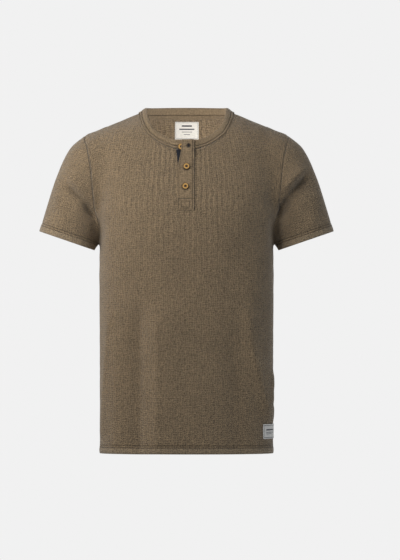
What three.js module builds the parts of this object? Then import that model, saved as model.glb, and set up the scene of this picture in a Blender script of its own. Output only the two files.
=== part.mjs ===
// A short-sleeved henley shirt, filled out as when it is worn.
// Millimetres; X runs to the wearer's left, Y to the back, Z up.
// The origin is on the line between the two high shoulder points.
import * as THREE from 'three';

// Driving sizes
const hemHeight = -694.5;
const wallThickness = 2;
const seamGap = 0.3;
const armpitRow = 21;
const rowCount = 33;
const placketRow = 22;
const placketFoot = -200;
const neckFoot = -74;
const stripEdge = 18.5;
const shoulderPoint = [204, 0, -47];
const highShoulder = [95, 0, 0];
const armpitPoint = [176, 0, -244];
const cuffCentre = [243.8, -4, -256];
const cuffTilt = 19;
const cuffDrop = 4.5;
const armTop = 220;
const blendWidth = 22;
const relaxTurns = 10;
const armSquareness = 2.1;
const armEndRise = 0.7;
const bandLean = 0.18;
const bandSideLean = 1.16;
const bandSidePower = 2.2;
const tapeHeight = 7;
const tapeGap = 0.35;
const tapeThickness = 0.9;
const overThickness = 1.4;
const overSewnGap = 0.5;
const underGap = 0.35;
const underThickness = 1.1;
const labelGap = 1;
const labelThickness = 0.7;
const sideLabelLow = -664;
const sideLabelHigh = -634;
const sideLabelFront = -62;
const sideLabelBack = -5;
const buttonRadius = 6.3;
const buttonThickness = 2.3;
const buttonBevel = 0.5;
const buttonHoleRadius = 1.1;
const buttonHoleOffset = 1.4;

// Level sections of the body: half width, depth in front of and behind the side seam,
// and how square the rounded section is (2 is an ellipse)
const bodySections = {
  columns: ['z', 'halfWidth', 'front', 'back', 'squareness'],
  rows: [
    [24, 40, 4, 34, 2.35],
    [8, 80, 16, 50, 2.35],
    [0, 98, 30, 58, 2.35],
    [-13, 127.5, 48, 66, 2.35],
    [-34, 175, 66, 76, 2.35],
    [-60, 198, 77, 86, 2.5],
    [-80, 198, 85, 92, 2.6],
    [-110, 194, 94, 99, 2.75],
    [-150, 186, 106, 106, 2.9],
    [-200, 177, 117, 111, 3],
    [-250, 173, 119, 110, 3],
    [-300, 177.5, 115, 106, 2.8],
    [-400, 177.5, 107, 100, 2.6],
    [-500, 177, 103, 101, 2.5],
    [-600, 177, 105, 106, 2.4],
    [-710, 177, 110, 110, 2.4],
  ],
};

// Sections square to the arm: distance up from the cuff, half width, half depth
const armSections = {
  columns: ['z', 'halfWidth', 'halfDepth'],
  rows: [
    [244, 2, 3],
    [231, 12, 20],
    [211, 33, 40],
    [193, 46, 49],
    [177, 54, 54],
    [150, 59.3, 58],
    [123, 61.2, 60],
    [97, 62, 60],
    [45, 60.5, 57],
    [0, 58.6, 55],
    [-30, 58.2, 54],
  ],
};

// Control points of the armhole seam, from the armpit to the shoulder point
const armholeFront = {
  columns: ['x', 'y', 'z'],
  rows: [
    [180, -36, -226],
    [187, -60, -194],
    [192, -70, -150],
    [196, -68, -112],
    [202, -48, -74],
    [206, -24, -54],
  ],
};
const armholeBack = {
  columns: ['x', 'y', 'z'],
  rows: [
    [180, 36, -226],
    [187, 60, -196],
    [190, 72, -150],
    [194, 70, -110],
    [201, 50, -74],
    [206, 26, -54],
  ],
};

// Neck seam seen from the front, from the placket out to the high shoulder point
const neckSeam = {
  columns: ['x', 'z'],
  rows: [
    [18.5, -74],
    [40, -68],
    [58, -58.5],
    [78, -43],
    [88.5, -26],
    [94, -10],
    [95, 0],
  ],
};

// Creases as soft ridges (height above 0) and troughs (below 0), seen along Y and drawn downwards.
// Side -1 is the front and 1 the back; left and right are the widths to lower and to higher X.
const creases = {
  columns: ['side', 'x0', 'z0', 'x1', 'z1', 'left', 'right', 'height'],
  rows: [
    [-1, -250, -143, -204, -181, 22, 10, -5],
    [-1, -204, -181, -186, -214, 16, 9, -7],
    [-1, 247, -124, 204, -172, 10, 24, -7],
    [-1, 204, -172, 185, -212, 9, 18, -8],
    [-1, 241, -110, 204, -150, 14, 10, 5],
    [-1, -242, -122, -208, -160, 10, 14, 3],
    [-1, -172, -190, -166, -280, 15, 15, 4],
    [-1, 172, -190, 166, -280, 15, 15, 5],
    [-1, -159, -410, -171, -665, 11, 11, 3],
    [-1, -143, -440, -146, -710, 15, 15, 3],
    [-1, -98, -395, -100, -710, 32, 14, -7],
    [-1, -56, -385, -55, -710, 22, 60, 11],
    [-1, 30, -540, 26, -710, 26, 26, 1.5],
    [-1, 96, -450, 106, -710, 32, 20, -5],
    [-1, 124, -400, 134, -490, 13, 22, 6],
    [-1, 134, -490, 166, -634, 12, 24, 8],
    [-1, 174, -520, 168, -600, 11, 11, 3],
    [-1, -150, -228, -70, -330, 26, 26, -2],
    [-1, 150, -232, 76, -345, 30, 30, -2],
    [-1, 150, -300, 120, -420, 24, 24, 3],
    [-1, -262, -160, -250, -235, 13, 13, 3],
    [-1, 268, -160, 258, -235, 13, 13, 3],
    [1, -240, -130, -196, -184, 18, 10, -5],
    [1, 240, -126, 197, -180, 10, 18, -5],
    [1, -196, -184, -180, -216, 14, 9, -6],
    [1, 197, -180, 182, -210, 9, 14, -6],
    [1, -170, -190, -164, -280, 15, 15, 4],
    [1, 170, -190, 164, -280, 15, 15, 5],
    [1, -132, -220, -40, -300, 26, 26, -4],
    [1, 136, -226, 52, -316, 30, 24, -4],
    [1, -60, -420, -78, -710, 16, 26, 6],
    [1, -104, -470, -118, -710, 17, 17, -4],
    [1, 20, -440, 26, -710, 22, 22, -5],
    [1, 66, -450, 74, -710, 18, 30, 5],
    [1, 120, -430, 134, -710, 19, 19, -5],
    [1, 156, -480, 164, -710, 13, 13, 4],
    [1, -150, -460, -160, -710, 14, 14, 4],
    [1, -20, -360, 60, -400, 24, 24, 3],
    [1, 256, -160, 246, -236, 14, 14, 3],
    [1, -256, -160, -246, -236, 14, 14, 3],
  ],
};

// Side edges of the two placket strips and how far the over placket stands off the front
const overPlacket = {
  columns: ['z', 'free', 'sewn', 'lift'],
  rows: [
    [-200, -17.8, 16.6, 1.9],
    [-142, -17.8, 16.6, 1.9],
    [-119, -17.6, 16.6, 2],
    [-107, -16.9, 16.6, 2.1],
    [-97, -15, 16.6, 2.8],
    [-85, -12.2, 16.6, 4.6],
    [-74, -10.6, 16.6, 5.4],
    [-64, -9.8, 16.4, 5.2],
    [-55, -9.2, 16.2, 4.6],
  ],
};
const underPlacket = {
  columns: ['z', 'left', 'right'],
  rows: [
    [-200, -17, 12],
    [-112, -17, 12],
    [-97, -18.4, 12],
    [-85, -19.8, 12],
    [-75.4, -21, 12],
  ],
};

// Neckband section: distance up from the seam and distance out from its middle sheet
const bandProfile = {
  columns: ['up', 'out'],
  rows: [
    [0.2, 1.1],
    [4.2, 1.5],
    [5.2, 0.4],
    [11, 1],
    [16.4, 0.9],
    [17.6, -0.6],
    [16.4, -2],
    [9, -2],
    [0.2, -2],
  ],
};

// Buttons: middle seen from the front, and distance out from the front panel
const buttons = {
  columns: ['x', 'z', 'out'],
  rows: {
    button_top: [-10.6, -70, 2.2],
    button_middle: [0.2, -111, 4],
    button_lower: [-2, -151.2, 3.7],
  },
};

// Labels: left, right, low and high edge
const labels = {
  columns: ['x0', 'x1', 'z0', 'z1'],
  rows: {
    neck_label: [-24, 25, -50, -14.5],
    size_tab: [-7.5, 3, -57, -50.5],
  },
};

const radian = Math.PI / 180;

// Vector arithmetic on [x, y, z]
function plus(a, b, scale = 1) {
  return [a[0] + b[0] * scale, a[1] + b[1] * scale, a[2] + b[2] * scale];
}

function minus(a, b) {
  return plus(a, b, -1);
}

function dot(a, b) {
  return a[0] * b[0] + a[1] * b[1] + a[2] * b[2];
}

function cross(a, b) {
  return [
    a[1] * b[2] - a[2] * b[1],
    a[2] * b[0] - a[0] * b[2],
    a[0] * b[1] - a[1] * b[0],
  ];
}

function unit(a) {
  const length = Math.hypot(...a);
  return a.map((value) => value / length);
}

function mix(a, b, share) {
  return a.map((value, index) => value + (b[index] - value) * share);
}

function smooth(low, high, value) {
  const share = Math.min(1, Math.max(0, (value - low) / (high - low)));
  return share * share * (3 - 2 * share);
}

// Smooth reading of a table whose first column is sorted
function slopeAt(rows, index, column) {
  const before = rows[Math.max(0, index - 1)];
  const after = rows[Math.min(rows.length - 1, index + 1)];
  return (after[column] - before[column]) / (after[0] - before[0]);
}

function readTable(table, at) {
  const rows = table.rows;
  const falling = rows[0][0] > rows[rows.length - 1][0];
  let index = 0;
  while (index < rows.length - 2 && (falling ? at < rows[index + 1][0] : at > rows[index + 1][0])) {
    index += 1;
  }
  const start = rows[index];
  const end = rows[index + 1];
  const span = end[0] - start[0];
  const share = Math.min(1, Math.max(0, (at - start[0]) / span));
  const square = share * share;
  const cube = square * share;
  return start.slice(1).map((value, offset) => {
    const column = offset + 1;
    const startSlope = slopeAt(rows, index, column) * span;
    const endSlope = slopeAt(rows, index + 1, column) * span;
    return value * (2 * cube - 3 * square + 1) + startSlope * (cube - 2 * square + share)
      + end[column] * (3 * square - 2 * cube) + endSlope * (cube - square);
  });
}

// Signed distance of a point from a rounded section, along the ray from its middle
function sectionDistance(across, along, halfWidth, halfDepth, squareness) {
  const reach = Math.hypot(across, along);
  if (reach < 1e-6) {
    return -Math.min(halfWidth, halfDepth);
  }
  const ratio = (Math.abs(across / halfWidth) ** squareness
    + Math.abs(along / halfDepth) ** squareness) ** (1 / squareness);
  return reach * (1 - 1 / ratio);
}

function bodyDistance([x, y, z]) {
  const [halfWidth, front, back, squareness] = readTable(bodySections, z);
  return sectionDistance(x, y, halfWidth, y < 0 ? front : back, squareness);
}

function armDistance([x, y, z]) {
  const tilt = cuffTilt * radian;
  const across = Math.abs(x) - cuffCentre[0];
  const rise = z - cuffCentre[2];
  const outward = across * Math.cos(tilt) + rise * Math.sin(tilt);
  const upward = rise * Math.cos(tilt) - across * Math.sin(tilt);
  const [halfWidth, halfDepth] = readTable(armSections, upward);
  const beyond = Math.max(0, upward - armTop) * armEndRise;
  return sectionDistance(outward, y - cuffCentre[1], halfWidth, halfDepth, armSquareness) + beyond;
}

// The garment's smooth form: body and arms joined with a soft fillet
function bodyShare(body, arm, width) {
  return Math.min(1, Math.max(0, 0.5 + (0.5 * (arm - body)) / width));
}

function formDistance(point) {
  const body = bodyDistance(point);
  const arm = armDistance(point);
  const share = bodyShare(body, arm, blendWidth);
  return arm + (body - arm) * share - blendWidth * share * (1 - share);
}

function formGradient([x, y, z]) {
  const step = 0.4;
  return [
    (formDistance([x + step, y, z]) - formDistance([x - step, y, z])) / (2 * step),
    (formDistance([x, y + step, z]) - formDistance([x, y - step, z])) / (2 * step),
    (formDistance([x, y, z + step]) - formDistance([x, y, z - step])) / (2 * step),
  ];
}

function settle(start) {
  let point = start;
  for (let turn = 0; turn < 12; turn += 1) {
    const slope = formGradient(point);
    const away = formDistance(point);
    point = plus(point, slope, -away / dot(slope, slope));
  }
  return point;
}

// Settles a point on the form without moving it along the kept axis
function settleKeeping(start, axis) {
  let point = start;
  for (let turn = 0; turn < 14; turn += 1) {
    const slope = formGradient(point);
    slope[axis] = 0;
    const away = formDistance(point);
    point = plus(point, slope, -away / dot(slope, slope));
  }
  return point;
}

// Front (side -1) or back (side 1) point of the form straight behind a view point
function viewPoint(x, z, side) {
  let low = 0;
  let high = 170;
  for (let turn = 0; turn < 40; turn += 1) {
    const middle = (low + high) / 2;
    if (formDistance([x, side * middle, z]) < 0) {
      low = middle;
    } else {
      high = middle;
    }
  }
  return [x, side * low, z];
}

function creaseHeight([x, y, z]) {
  let height = 0;
  for (const [side, x0, z0, x1, z1, left, right, rise] of creases.rows) {
    const length = Math.hypot(x1 - x0, z1 - z0);
    const along = ((x - x0) * (x1 - x0) + (z - z0) * (z1 - z0)) / length;
    const away = ((x - x0) * (z1 - z0) - (z - z0) * (x1 - x0)) / length;
    const halfWidth = away > 0 ? left : right;
    const fade = (left + right) / 2;
    const ends = smooth(-fade, fade * 1.5, along) * smooth(-fade, fade * 1.5, length - along);
    const shown = smooth(4, 34, side * y);
    height += rise * Math.exp(-((away / halfWidth) ** 2)) * ends * shown;
  }
  // Cloth keeps its place in the tight valley under the arm
  const share = bodyShare(bodyDistance([x, y, z]), armDistance([x, y, z]), blendWidth * 2);
  const valley = 4 * share * (1 - share) * smooth(-205, -240, z);
  return height * (1 - valley);
}

// One place of the cloth: the settled point, its normal and its crease
function place(point) {
  const normal = unit(formGradient(point));
  return { point: plus(point, normal, creaseHeight(point)), normal };
}

function layer(spot, offset) {
  return plus(spot.point, spot.normal, offset);
}

// Evenly spaced points along a polyline
function spread(line, count) {
  const lengths = [0];
  for (let index = 1; index < line.length; index += 1) {
    lengths.push(lengths[index - 1] + Math.hypot(...minus(line[index], line[index - 1])));
  }
  const total = lengths[lengths.length - 1];
  const points = [];
  for (let step = 0; step <= count; step += 1) {
    const target = (total * step) / count;
    let index = 1;
    while (index < line.length - 1 && lengths[index] < target) {
      index += 1;
    }
    const share = (target - lengths[index - 1]) / (lengths[index] - lengths[index - 1]);
    points.push(mix(line[index - 1], line[index], share));
  }
  return points;
}

function curveThrough(controls, closed = false) {
  const vectors = controls.map((point) => new THREE.Vector3(...point));
  const curve = new THREE.CatmullRomCurve3(vectors, closed, 'centripetal');
  return curve.getPoints(controls.length * 14).map((point) => point.toArray());
}

function mirror(point, sign) {
  return [point[0] * sign, point[1], point[2]];
}

// Seam lines on the wearer's left half; the right half mirrors them
const armpit = settleKeeping(armpitPoint, 1);
const shoulderTip = settleKeeping(shoulderPoint, 1);
const neckTip = settleKeeping(highShoulder, 1);

function seamAlong(controls, count) {
  return spread(curveThrough(controls).map(settle), count).map(settle);
}

const armholeCount = rowCount - armpitRow;
const frontArmhole = seamAlong([armpit, ...armholeFront.rows, shoulderTip], armholeCount);
const backArmhole = seamAlong([armpit, ...armholeBack.rows, shoulderTip], armholeCount);
frontArmhole[0] = armpit;
backArmhole[0] = armpit;
frontArmhole[armholeCount] = shoulderTip;
backArmhole[armholeCount] = shoulderTip;

const sideSeam = [];
for (let row = 0; row <= armpitRow; row += 1) {
  const height = hemHeight + ((armpit[2] - hemHeight) * row) / armpitRow;
  sideSeam.push(row === armpitRow ? armpit : settleKeeping([176, 0, height], 2));
}

const shoulderCount = 7;
const shoulderSeam = [];
for (let step = 0; step <= shoulderCount; step += 1) {
  const start = mix(neckTip, shoulderTip, step / shoulderCount);
  shoulderSeam.push(settleKeeping([start[0], 0, start[2]], 1));
}

const neckCount = 8;
const frontNeckLine = [];
for (let step = 0; step <= 60; step += 1) {
  const share = step / 60;
  const last = neckSeam.rows.length - 1;
  const index = Math.min(last - 1, Math.floor(share * last));
  const [x0, z0] = neckSeam.rows[index];
  const [x1, z1] = neckSeam.rows[index + 1];
  const part = share * last - index;
  frontNeckLine.push(viewPoint(x0 + (x1 - x0) * part, z0 + (z1 - z0) * part, -1));
}
frontNeckLine[60] = neckTip;
const frontNeck = spread(frontNeckLine, neckCount).map(settle);
frontNeck[0] = viewPoint(stripEdge, neckFoot, -1);
frontNeck[neckCount] = neckTip;

const backNeckCount = 6;
const backNeckDrop = -4;
const backNeckLine = [];
for (let step = 0; step <= 40; step += 1) {
  const angle = (step / 40) * 90 * radian;
  const height = backNeckDrop * (1 - Math.sin(angle) ** 6);
  const [, , back] = readTable(bodySections, height);
  const start = [neckTip[0] * Math.sin(angle), back * Math.cos(angle), height];
  backNeckLine.push(settleKeeping(start, 2));
}
backNeckLine[40] = neckTip;
const backNeck = spread(backNeckLine, backNeckCount).map((point) => settleKeeping(point, 2));
backNeck[0] = settleKeeping([0, 58, backNeckDrop], 2);
backNeck[backNeckCount] = neckTip;

// Heights of the rows in the middle strip of the front
const stripHeights = [];
for (let row = 0; row <= rowCount; row += 1) {
  const lower = hemHeight + ((placketFoot - hemHeight) * row) / placketRow;
  const upper = placketFoot
    + ((neckFoot - placketFoot) * (row - placketRow)) / (rowCount - placketRow);
  stripHeights.push(row <= placketRow ? lower : upper);
}

// A four-sided patch between its edges, settled on the form
function patch(bottom, top, inner, outer) {
  const columns = bottom.length - 1;
  const rows = inner.length - 1;
  const grid = [];
  for (let row = 0; row <= rows; row += 1) {
    const line = [];
    const up = row / rows;
    for (let column = 0; column <= columns; column += 1) {
      const out = column / columns;
      const vertical = mix(bottom[column], top[column], up);
      const level = mix(inner[row], outer[row], out);
      const foot = mix(bottom[0], bottom[columns], out);
      const head = mix(top[0], top[columns], out);
      const corner = mix(foot, head, up);
      const start = minus(plus(vertical, level), corner);
      const edge = row === 0 || row === rows || column === 0 || column === columns;
      line.push(edge ? start : settle(start));
    }
    grid.push(line);
  }
  // Evens out the cells without moving the edges or leaving the form
  for (let turn = 0; turn < relaxTurns; turn += 1) {
    for (let row = 1; row < rows; row += 1) {
      for (let column = 1; column < columns; column += 1) {
        const level = mix(grid[row][column - 1], grid[row][column + 1], 0.5);
        const upright = mix(grid[row - 1][column], grid[row + 1][column], 0.5);
        grid[row][column] = settle(mix(level, upright, 0.5));
      }
    }
  }
  return grid;
}

function hemLine(innerX, count, side) {
  const line = [];
  for (let step = 0; step <= 80; step += 1) {
    const share = step / 80;
    const angle = share * 90 * radian;
    const [halfWidth, front, back] = readTable(bodySections, hemHeight);
    const depth = side < 0 ? front : back;
    const x = innerX + (halfWidth - innerX) * Math.sin(angle);
    line.push(settleKeeping([x, side * (depth * Math.cos(angle) + 0.01), hemHeight], 2));
  }
  line[80] = sideSeam[0];
  const points = spread(line, count).map((point) => settleKeeping(point, 2));
  points[count] = sideSeam[0];
  return points;
}

const frontCount = neckCount + shoulderCount;
const frontInner = stripHeights.map((height) => viewPoint(stripEdge, height, -1));
const frontHalf = patch(
  [frontInner[0], ...hemLine(stripEdge, frontCount, -1).slice(1)],
  [...frontNeck, ...shoulderSeam.slice(1)],
  [...frontInner.slice(0, -1), frontNeck[0]],
  [...sideSeam, ...frontArmhole.slice(1)],
);
const backCount = backNeckCount + shoulderCount;
const backInner = [];
for (let row = 0; row <= rowCount; row += 1) {
  const height = hemHeight + ((backNeck[0][2] - 7 - hemHeight) * row) / (rowCount - 1);
  backInner.push(row === rowCount ? backNeck[0] : viewPoint(0, height, 1));
}
const backHalf = patch(
  [backInner[0], ...hemLine(0, backCount, 1).slice(1)],
  [...backNeck, ...shoulderSeam.slice(1)],
  backInner,
  [...sideSeam, ...backArmhole.slice(1)],
);

// Columns of the middle strip, whose outer two lie under the placket's edges
const stripColumns = [-18.5, -13, -6, 0, 6, 12.5, 18.5];
const frontGrid = stripHeights.map((height, row) => [
  ...frontHalf[row].slice(1).reverse().map((point) => mirror(point, -1)),
  ...stripColumns.map((x) => viewPoint(x, height, -1)),
  ...frontHalf[row].slice(1),
]);
const backGrid = backHalf.map((line) => [
  ...line.slice().reverse(),
  ...line.slice(1).map((point) => mirror(point, -1)),
]);

// Sleeve rings from the armhole to the cuff, along curves that leave the armhole outwards
// and arrive square to the cuff
const sleeveRings = 12;
const curveStrength = 0.9;
const armholeLeave = [0.75, 0, -0.45];
function cuffRing(count) {
  const tilt = cuffTilt * radian;
  const outward = [Math.cos(tilt), 0, Math.sin(tilt)];
  const along = [Math.sin(tilt), 0, -Math.cos(tilt)];
  const [halfWidth, halfDepth] = readTable(armSections, -cuffDrop);
  const middle = plus(cuffCentre, along, cuffDrop);
  const ring = [];
  for (let step = 0; step < count; step += 1) {
    const angle = (step / count) * 360 * radian;
    const spot = plus(middle, outward, -halfWidth * Math.cos(angle));
    ring.push([spot[0], spot[1] - halfDepth * Math.sin(angle), spot[2]]);
  }
  return ring;
}

const armholeRing = [...frontArmhole, ...backArmhole.slice(1, -1).reverse()];
const sleeveCount = armholeRing.length;
const cuff = cuffRing(sleeveCount);
const sleeveGrid = [];
for (let ring = 0; ring <= sleeveRings; ring += 1) {
  const share = ring / sleeveRings;
  const line = armholeRing.map((start, index) => {
    const end = cuff[index];
    const length = Math.hypot(...minus(end, start)) * curveStrength;
    const leave = armholeLeave.map((value) => value * length);
    const arrive = [length * Math.sin(cuffTilt * radian), 0, -length * Math.cos(cuffTilt * radian)];
    const square = share * share;
    const cube = square * share;
    let point = plus([0, 0, 0], start, 2 * cube - 3 * square + 1);
    point = plus(point, leave, cube - 2 * square + share);
    point = plus(point, end, 3 * square - 2 * cube);
    point = plus(point, arrive, cube - square);
    return ring === 0 ? start : settle(point);
  });
  sleeveGrid.push(line);
}

// Moves the edges of a panel back from its seams, square to each seam
function drawBack(grid, edges) {
  const rows = grid.length - 1;
  const columns = grid[0].length - 1;
  const width = grid[0].length;
  const moved = grid.map((line) => line.map((spot) => ({ ...spot })));
  const shift = (row, column, inward, before, after) => {
    const { point, normal } = grid[row][column];
    const seam = unit(minus(after.point, before.point));
    const way = minus(inward.point, point);
    const level = plus(way, normal, -dot(way, normal));
    const square = unit(plus(level, seam, -dot(level, seam)));
    moved[row][column].point = plus(moved[row][column].point, square, seamGap / 2);
  };
  for (let column = 0; column <= columns; column += 1) {
    const left = edges.ring ? (column + columns) % width : Math.max(0, column - 1);
    const right = edges.ring ? (column + 1) % width : Math.min(columns, column + 1);
    shift(rows, column, grid[rows - 1][column], grid[rows][left], grid[rows][right]);
  }
  for (let row = 0; row <= rows && !edges.ring; row += 1) {
    const low = Math.max(0, row - 1);
    const high = Math.min(rows, row + 1);
    shift(row, 0, grid[row][1], grid[low][0], grid[high][0]);
    shift(row, columns, grid[row][columns - 1], grid[low][columns], grid[high][columns]);
  }
  return moved;
}

// Measures which end of a seam edge comes first, the same for both pieces at the seam
const firstEnd = [0.37, 0.11, 1];

// A closed body of stacked layers over a grid, with open cells left out
function gridBody(outer, inner, options = {}) {
  const rows = outer.length - 1;
  const width = outer[0].length;
  const columns = options.ring ? width : width - 1;
  const open = options.open ?? (() => false);
  const positions = [];
  const number = new Map();
  const vertex = (face, row, column) => {
    const key = `${face}/${row}/${column % width}`;
    if (!number.has(key)) {
      number.set(key, positions.length / 3);
      positions.push(...(face ? inner : outer)[row][column % width]);
    }
    return number.get(key);
  };
  const indices = [];
  const quad = (a, b, c, d) => indices.push(a, b, c, a, c, d);
  const filled = (row, column) => {
    const wrapped = options.ring ? (column + columns) % columns : column;
    const inside = row >= 0 && row < rows && wrapped >= 0 && wrapped < columns;
    return inside && !open(row, wrapped);
  };
  for (let row = 0; row < rows; row += 1) {
    for (let column = 0; column < columns; column += 1) {
      if (!filled(row, column)) {
        continue;
      }
      const corners = [
        [row, column],
        [row, column + 1],
        [row + 1, column + 1],
        [row + 1, column],
      ];
      const near = corners.map((corner) => vertex(0, ...corner));
      const far = corners.map((corner) => vertex(1, ...corner));
      // Both faces are split along the shorter diagonal of the cell
      const [p, q, r, t] = corners.map(([atRow, atColumn]) => outer[atRow][atColumn % width]);
      if (Math.hypot(...minus(r, p)) < Math.hypot(...minus(t, q))) {
        quad(...near);
        indices.push(far[0], far[2], far[1], far[0], far[3], far[2]);
      } else {
        quad(near[1], near[2], near[3], near[0]);
        indices.push(far[1], far[3], far[2], far[1], far[0], far[3]);
      }
      const beside = [
        [row - 1, column],
        [row, column + 1],
        [row + 1, column],
        [row, column - 1],
      ];
      beside.forEach(([toRow, toColumn], side) => {
        if (!filled(toRow, toColumn)) {
          const next = (side + 1) % 4;
          const [here, there] = [corners[side], corners[next]].map(([atRow, atColumn]) => (
            dot(outer[atRow][atColumn % width], firstEnd)));
          // Both pieces at a seam split its wall from the same end
          if (here > there) {
            quad(near[side], far[side], far[next], near[next]);
          } else {
            quad(near[next], near[side], far[side], far[next]);
          }
        }
      });
    }
  }
  return facingOut(positions, indices);
}

// Turns all faces round when the enclosed volume comes out negative
function facingOut(positions, indices) {
  let volume = 0;
  for (let index = 0; index < indices.length; index += 3) {
    const [a, b, c] = [0, 1, 2].map((offset) => {
      const start = indices[index + offset] * 3;
      return positions.slice(start, start + 3);
    });
    volume += dot(a, cross(b, c));
  }
  if (volume < 0) {
    for (let index = 0; index < indices.length; index += 3) {
      [indices[index + 1], indices[index + 2]] = [indices[index + 2], indices[index + 1]];
    }
  }
  const geometry = new THREE.BufferGeometry();
  geometry.setAttribute('position', new THREE.Float32BufferAttribute(positions, 3));
  geometry.setIndex(indices);
  return geometry;
}

function layers(spots, offset) {
  return spots.map((line) => line.map((spot) => layer(spot, offset)));
}

const garment = new THREE.Group();
garment.name = 'henley_shirt';

const finishes = {
  knit: { color: 0x867557, roughness: 0.95, metalness: 0 },
  navy: { color: 0x171c2b, roughness: 0.95, metalness: 0 },
  wood: { color: 0xc29a56, roughness: 0.5, metalness: 0 },
  label: { color: 0xe9e6e0, roughness: 0.8, metalness: 0 },
};

function add(name, finish, geometry) {
  const mesh = new THREE.Mesh(geometry, new THREE.MeshStandardMaterial(finishes[finish]));
  mesh.name = name;
  garment.add(mesh);
}

// Front, with the slot under the placket left open
const firstStrip = frontCount;
const frontSpots = drawBack(frontGrid.map((line) => line.map(place)), { ring: false });
const slotRow = placketRow + 1;
const inSlot = (row, column) => row >= slotRow && column >= firstStrip + 1 && column <= firstStrip + 3;
add('front', 'knit', gridBody(layers(frontSpots, 0), layers(frontSpots, -wallThickness), {
  open: inSlot,
}));

// Back
const backSpots = drawBack(backGrid.map((line) => line.map(place)), { ring: false });
add('back', 'knit', gridBody(layers(backSpots, 0), layers(backSpots, -wallThickness)));

// Sleeves
function addSleeve(name, sign) {
  const rings = sleeveGrid.map((line) => line.map((point) => place(mirror(point, sign))));
  const spots = drawBack(rings.reverse(), { ring: true });
  add(name, 'knit', gridBody(layers(spots, 0), layers(spots, -wallThickness), { ring: true }));
}
addSleeve('sleeve_left', 1);
addSleeve('sleeve_right', -1);

// Neckband: stations along the neck seam, from its end beside the placket round the back
// to its end under the placket
function bandDirection([x, y]) {
  const toMiddle = unit([-x, -8 - y, 0]);
  const turn = Math.abs(x / neckTip[0]) ** bandSidePower;
  const behind = 1 - 0.5 * smooth(0, 34, y);
  const lean = bandLean + bandSideLean * turn * behind;
  return unit(plus([0, 0, 1], toMiddle, lean));
}

const bandLine = [
  viewPoint(17.3, neckFoot, -1),
  ...frontNeck,
  ...backNeck.slice(0, -1).reverse(),
  ...backNeck.slice(1, -1).map((point) => mirror(point, -1)),
  ...frontNeck.slice().reverse().map((point) => mirror(point, -1)),
  ...[-13, -6, 0, 5.5].map((x) => viewPoint(x, neckFoot, -1)),
];
const bandStations = bandLine.map((point, index) => {
  const before = bandLine[Math.max(0, index - 1)];
  const after = bandLine[Math.min(bandLine.length - 1, index + 1)];
  const up = bandDirection(point);
  const out = unit(cross(minus(after, before), up));
  return bandProfile.rows.map(([rise, away]) => plus(plus(point, up, rise), out, away));
});

// A closed body along stations of the same closed outline, capped at both ends
function rodBody(stations) {
  const sides = stations[0].length;
  const positions = stations.flat(2);
  const indices = [];
  for (let station = 0; station < stations.length - 1; station += 1) {
    for (let side = 0; side < sides; side += 1) {
      const a = station * sides + side;
      const b = station * sides + ((side + 1) % sides);
      indices.push(a, b, b + sides, a, b + sides, a + sides);
    }
  }
  const last = (stations.length - 1) * sides;
  const outline = bandProfile.rows.map(([up, out]) => new THREE.Vector2(up, out));
  const turn = THREE.ShapeUtils.area(outline);
  for (const corners of THREE.ShapeUtils.triangulateShape(outline, [])) {
    const area = THREE.ShapeUtils.area(corners.map((corner) => outline[corner]));
    const [a, b, c] = area * turn > 0 ? corners : corners.slice().reverse();
    indices.push(c, b, a);
    indices.push(last + a, last + b, last + c);
  }
  return facingOut(positions, indices);
}
add('neckband', 'knit', rodBody(bandStations));

// Neck tape inside the back neck seam, on the top cells of the back
const tapeFirst = shoulderCount;
const tapeLast = backSpots[0].length - 1 - shoulderCount;
const [belowSeam, atSeam] = backSpots.slice(-2).map((line) => line.slice(tapeFirst, tapeLast + 1));
const tapeFoot = atSeam.map((spot, index) => {
  const below = belowSeam[index];
  const share = tapeHeight / Math.hypot(...minus(below.point, spot.point));
  return {
    point: mix(spot.point, below.point, share),
    normal: unit(mix(spot.normal, below.normal, share)),
  };
});
const tapeSpots = [tapeFoot, atSeam];
const tapeOut = -wallThickness - tapeGap;
const tapeIn = tapeOut - tapeThickness;
add('neck_tape', 'knit', gridBody(layers(tapeSpots, tapeOut), layers(tapeSpots, tapeIn)));

// A place on the front's middle strip, carried on above the neck seam in the band's direction
function stripPlace(x, z) {
  const above = Math.max(0, z - neckFoot);
  const spot = place(viewPoint(x, Math.min(z, neckFoot), -1));
  const up = bandDirection([0, spot.point[1], neckFoot]);
  const square = unit(plus(spot.normal, up, -dot(spot.normal, up)));
  return {
    point: plus(spot.point, up, above / up[2]),
    normal: above > 0 ? square : spot.normal,
  };
}

const placketRows = stripHeights.slice(placketRow);

// Over placket, standing off where the top button is left undone
const overShares = [0, 0.18, 0.36, 0.54, 0.72, 0.9, 1];
const overRows = [...placketRows, -64, -55].map((z) => {
  const [free, sewn, lift] = readTable(overPlacket, z);
  return overShares.map((share) => {
    const spot = stripPlace(free + (sewn - free) * share, z);
    return { ...spot, out: share === 1 ? overSewnGap : lift };
  });
});
const raise = (rows, offset) => rows.map((line) => line.map((spot) => layer(spot, spot.out + offset)));
add('placket_over', 'knit', gridBody(raise(overRows, overThickness), raise(overRows, 0)));

// Under placket
const underRows = [...placketRows.slice(0, -1), -75.4].map((z) => {
  const [left, right] = readTable(underPlacket, z);
  return [0, 0.25, 0.5, 0.75, 1].map((share) => stripPlace(left + (right - left) * share, z));
});
const underOut = underGap + underThickness;
add('placket_under', 'navy', gridBody(layers(underRows, underOut), layers(underRows, underGap)));

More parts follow.
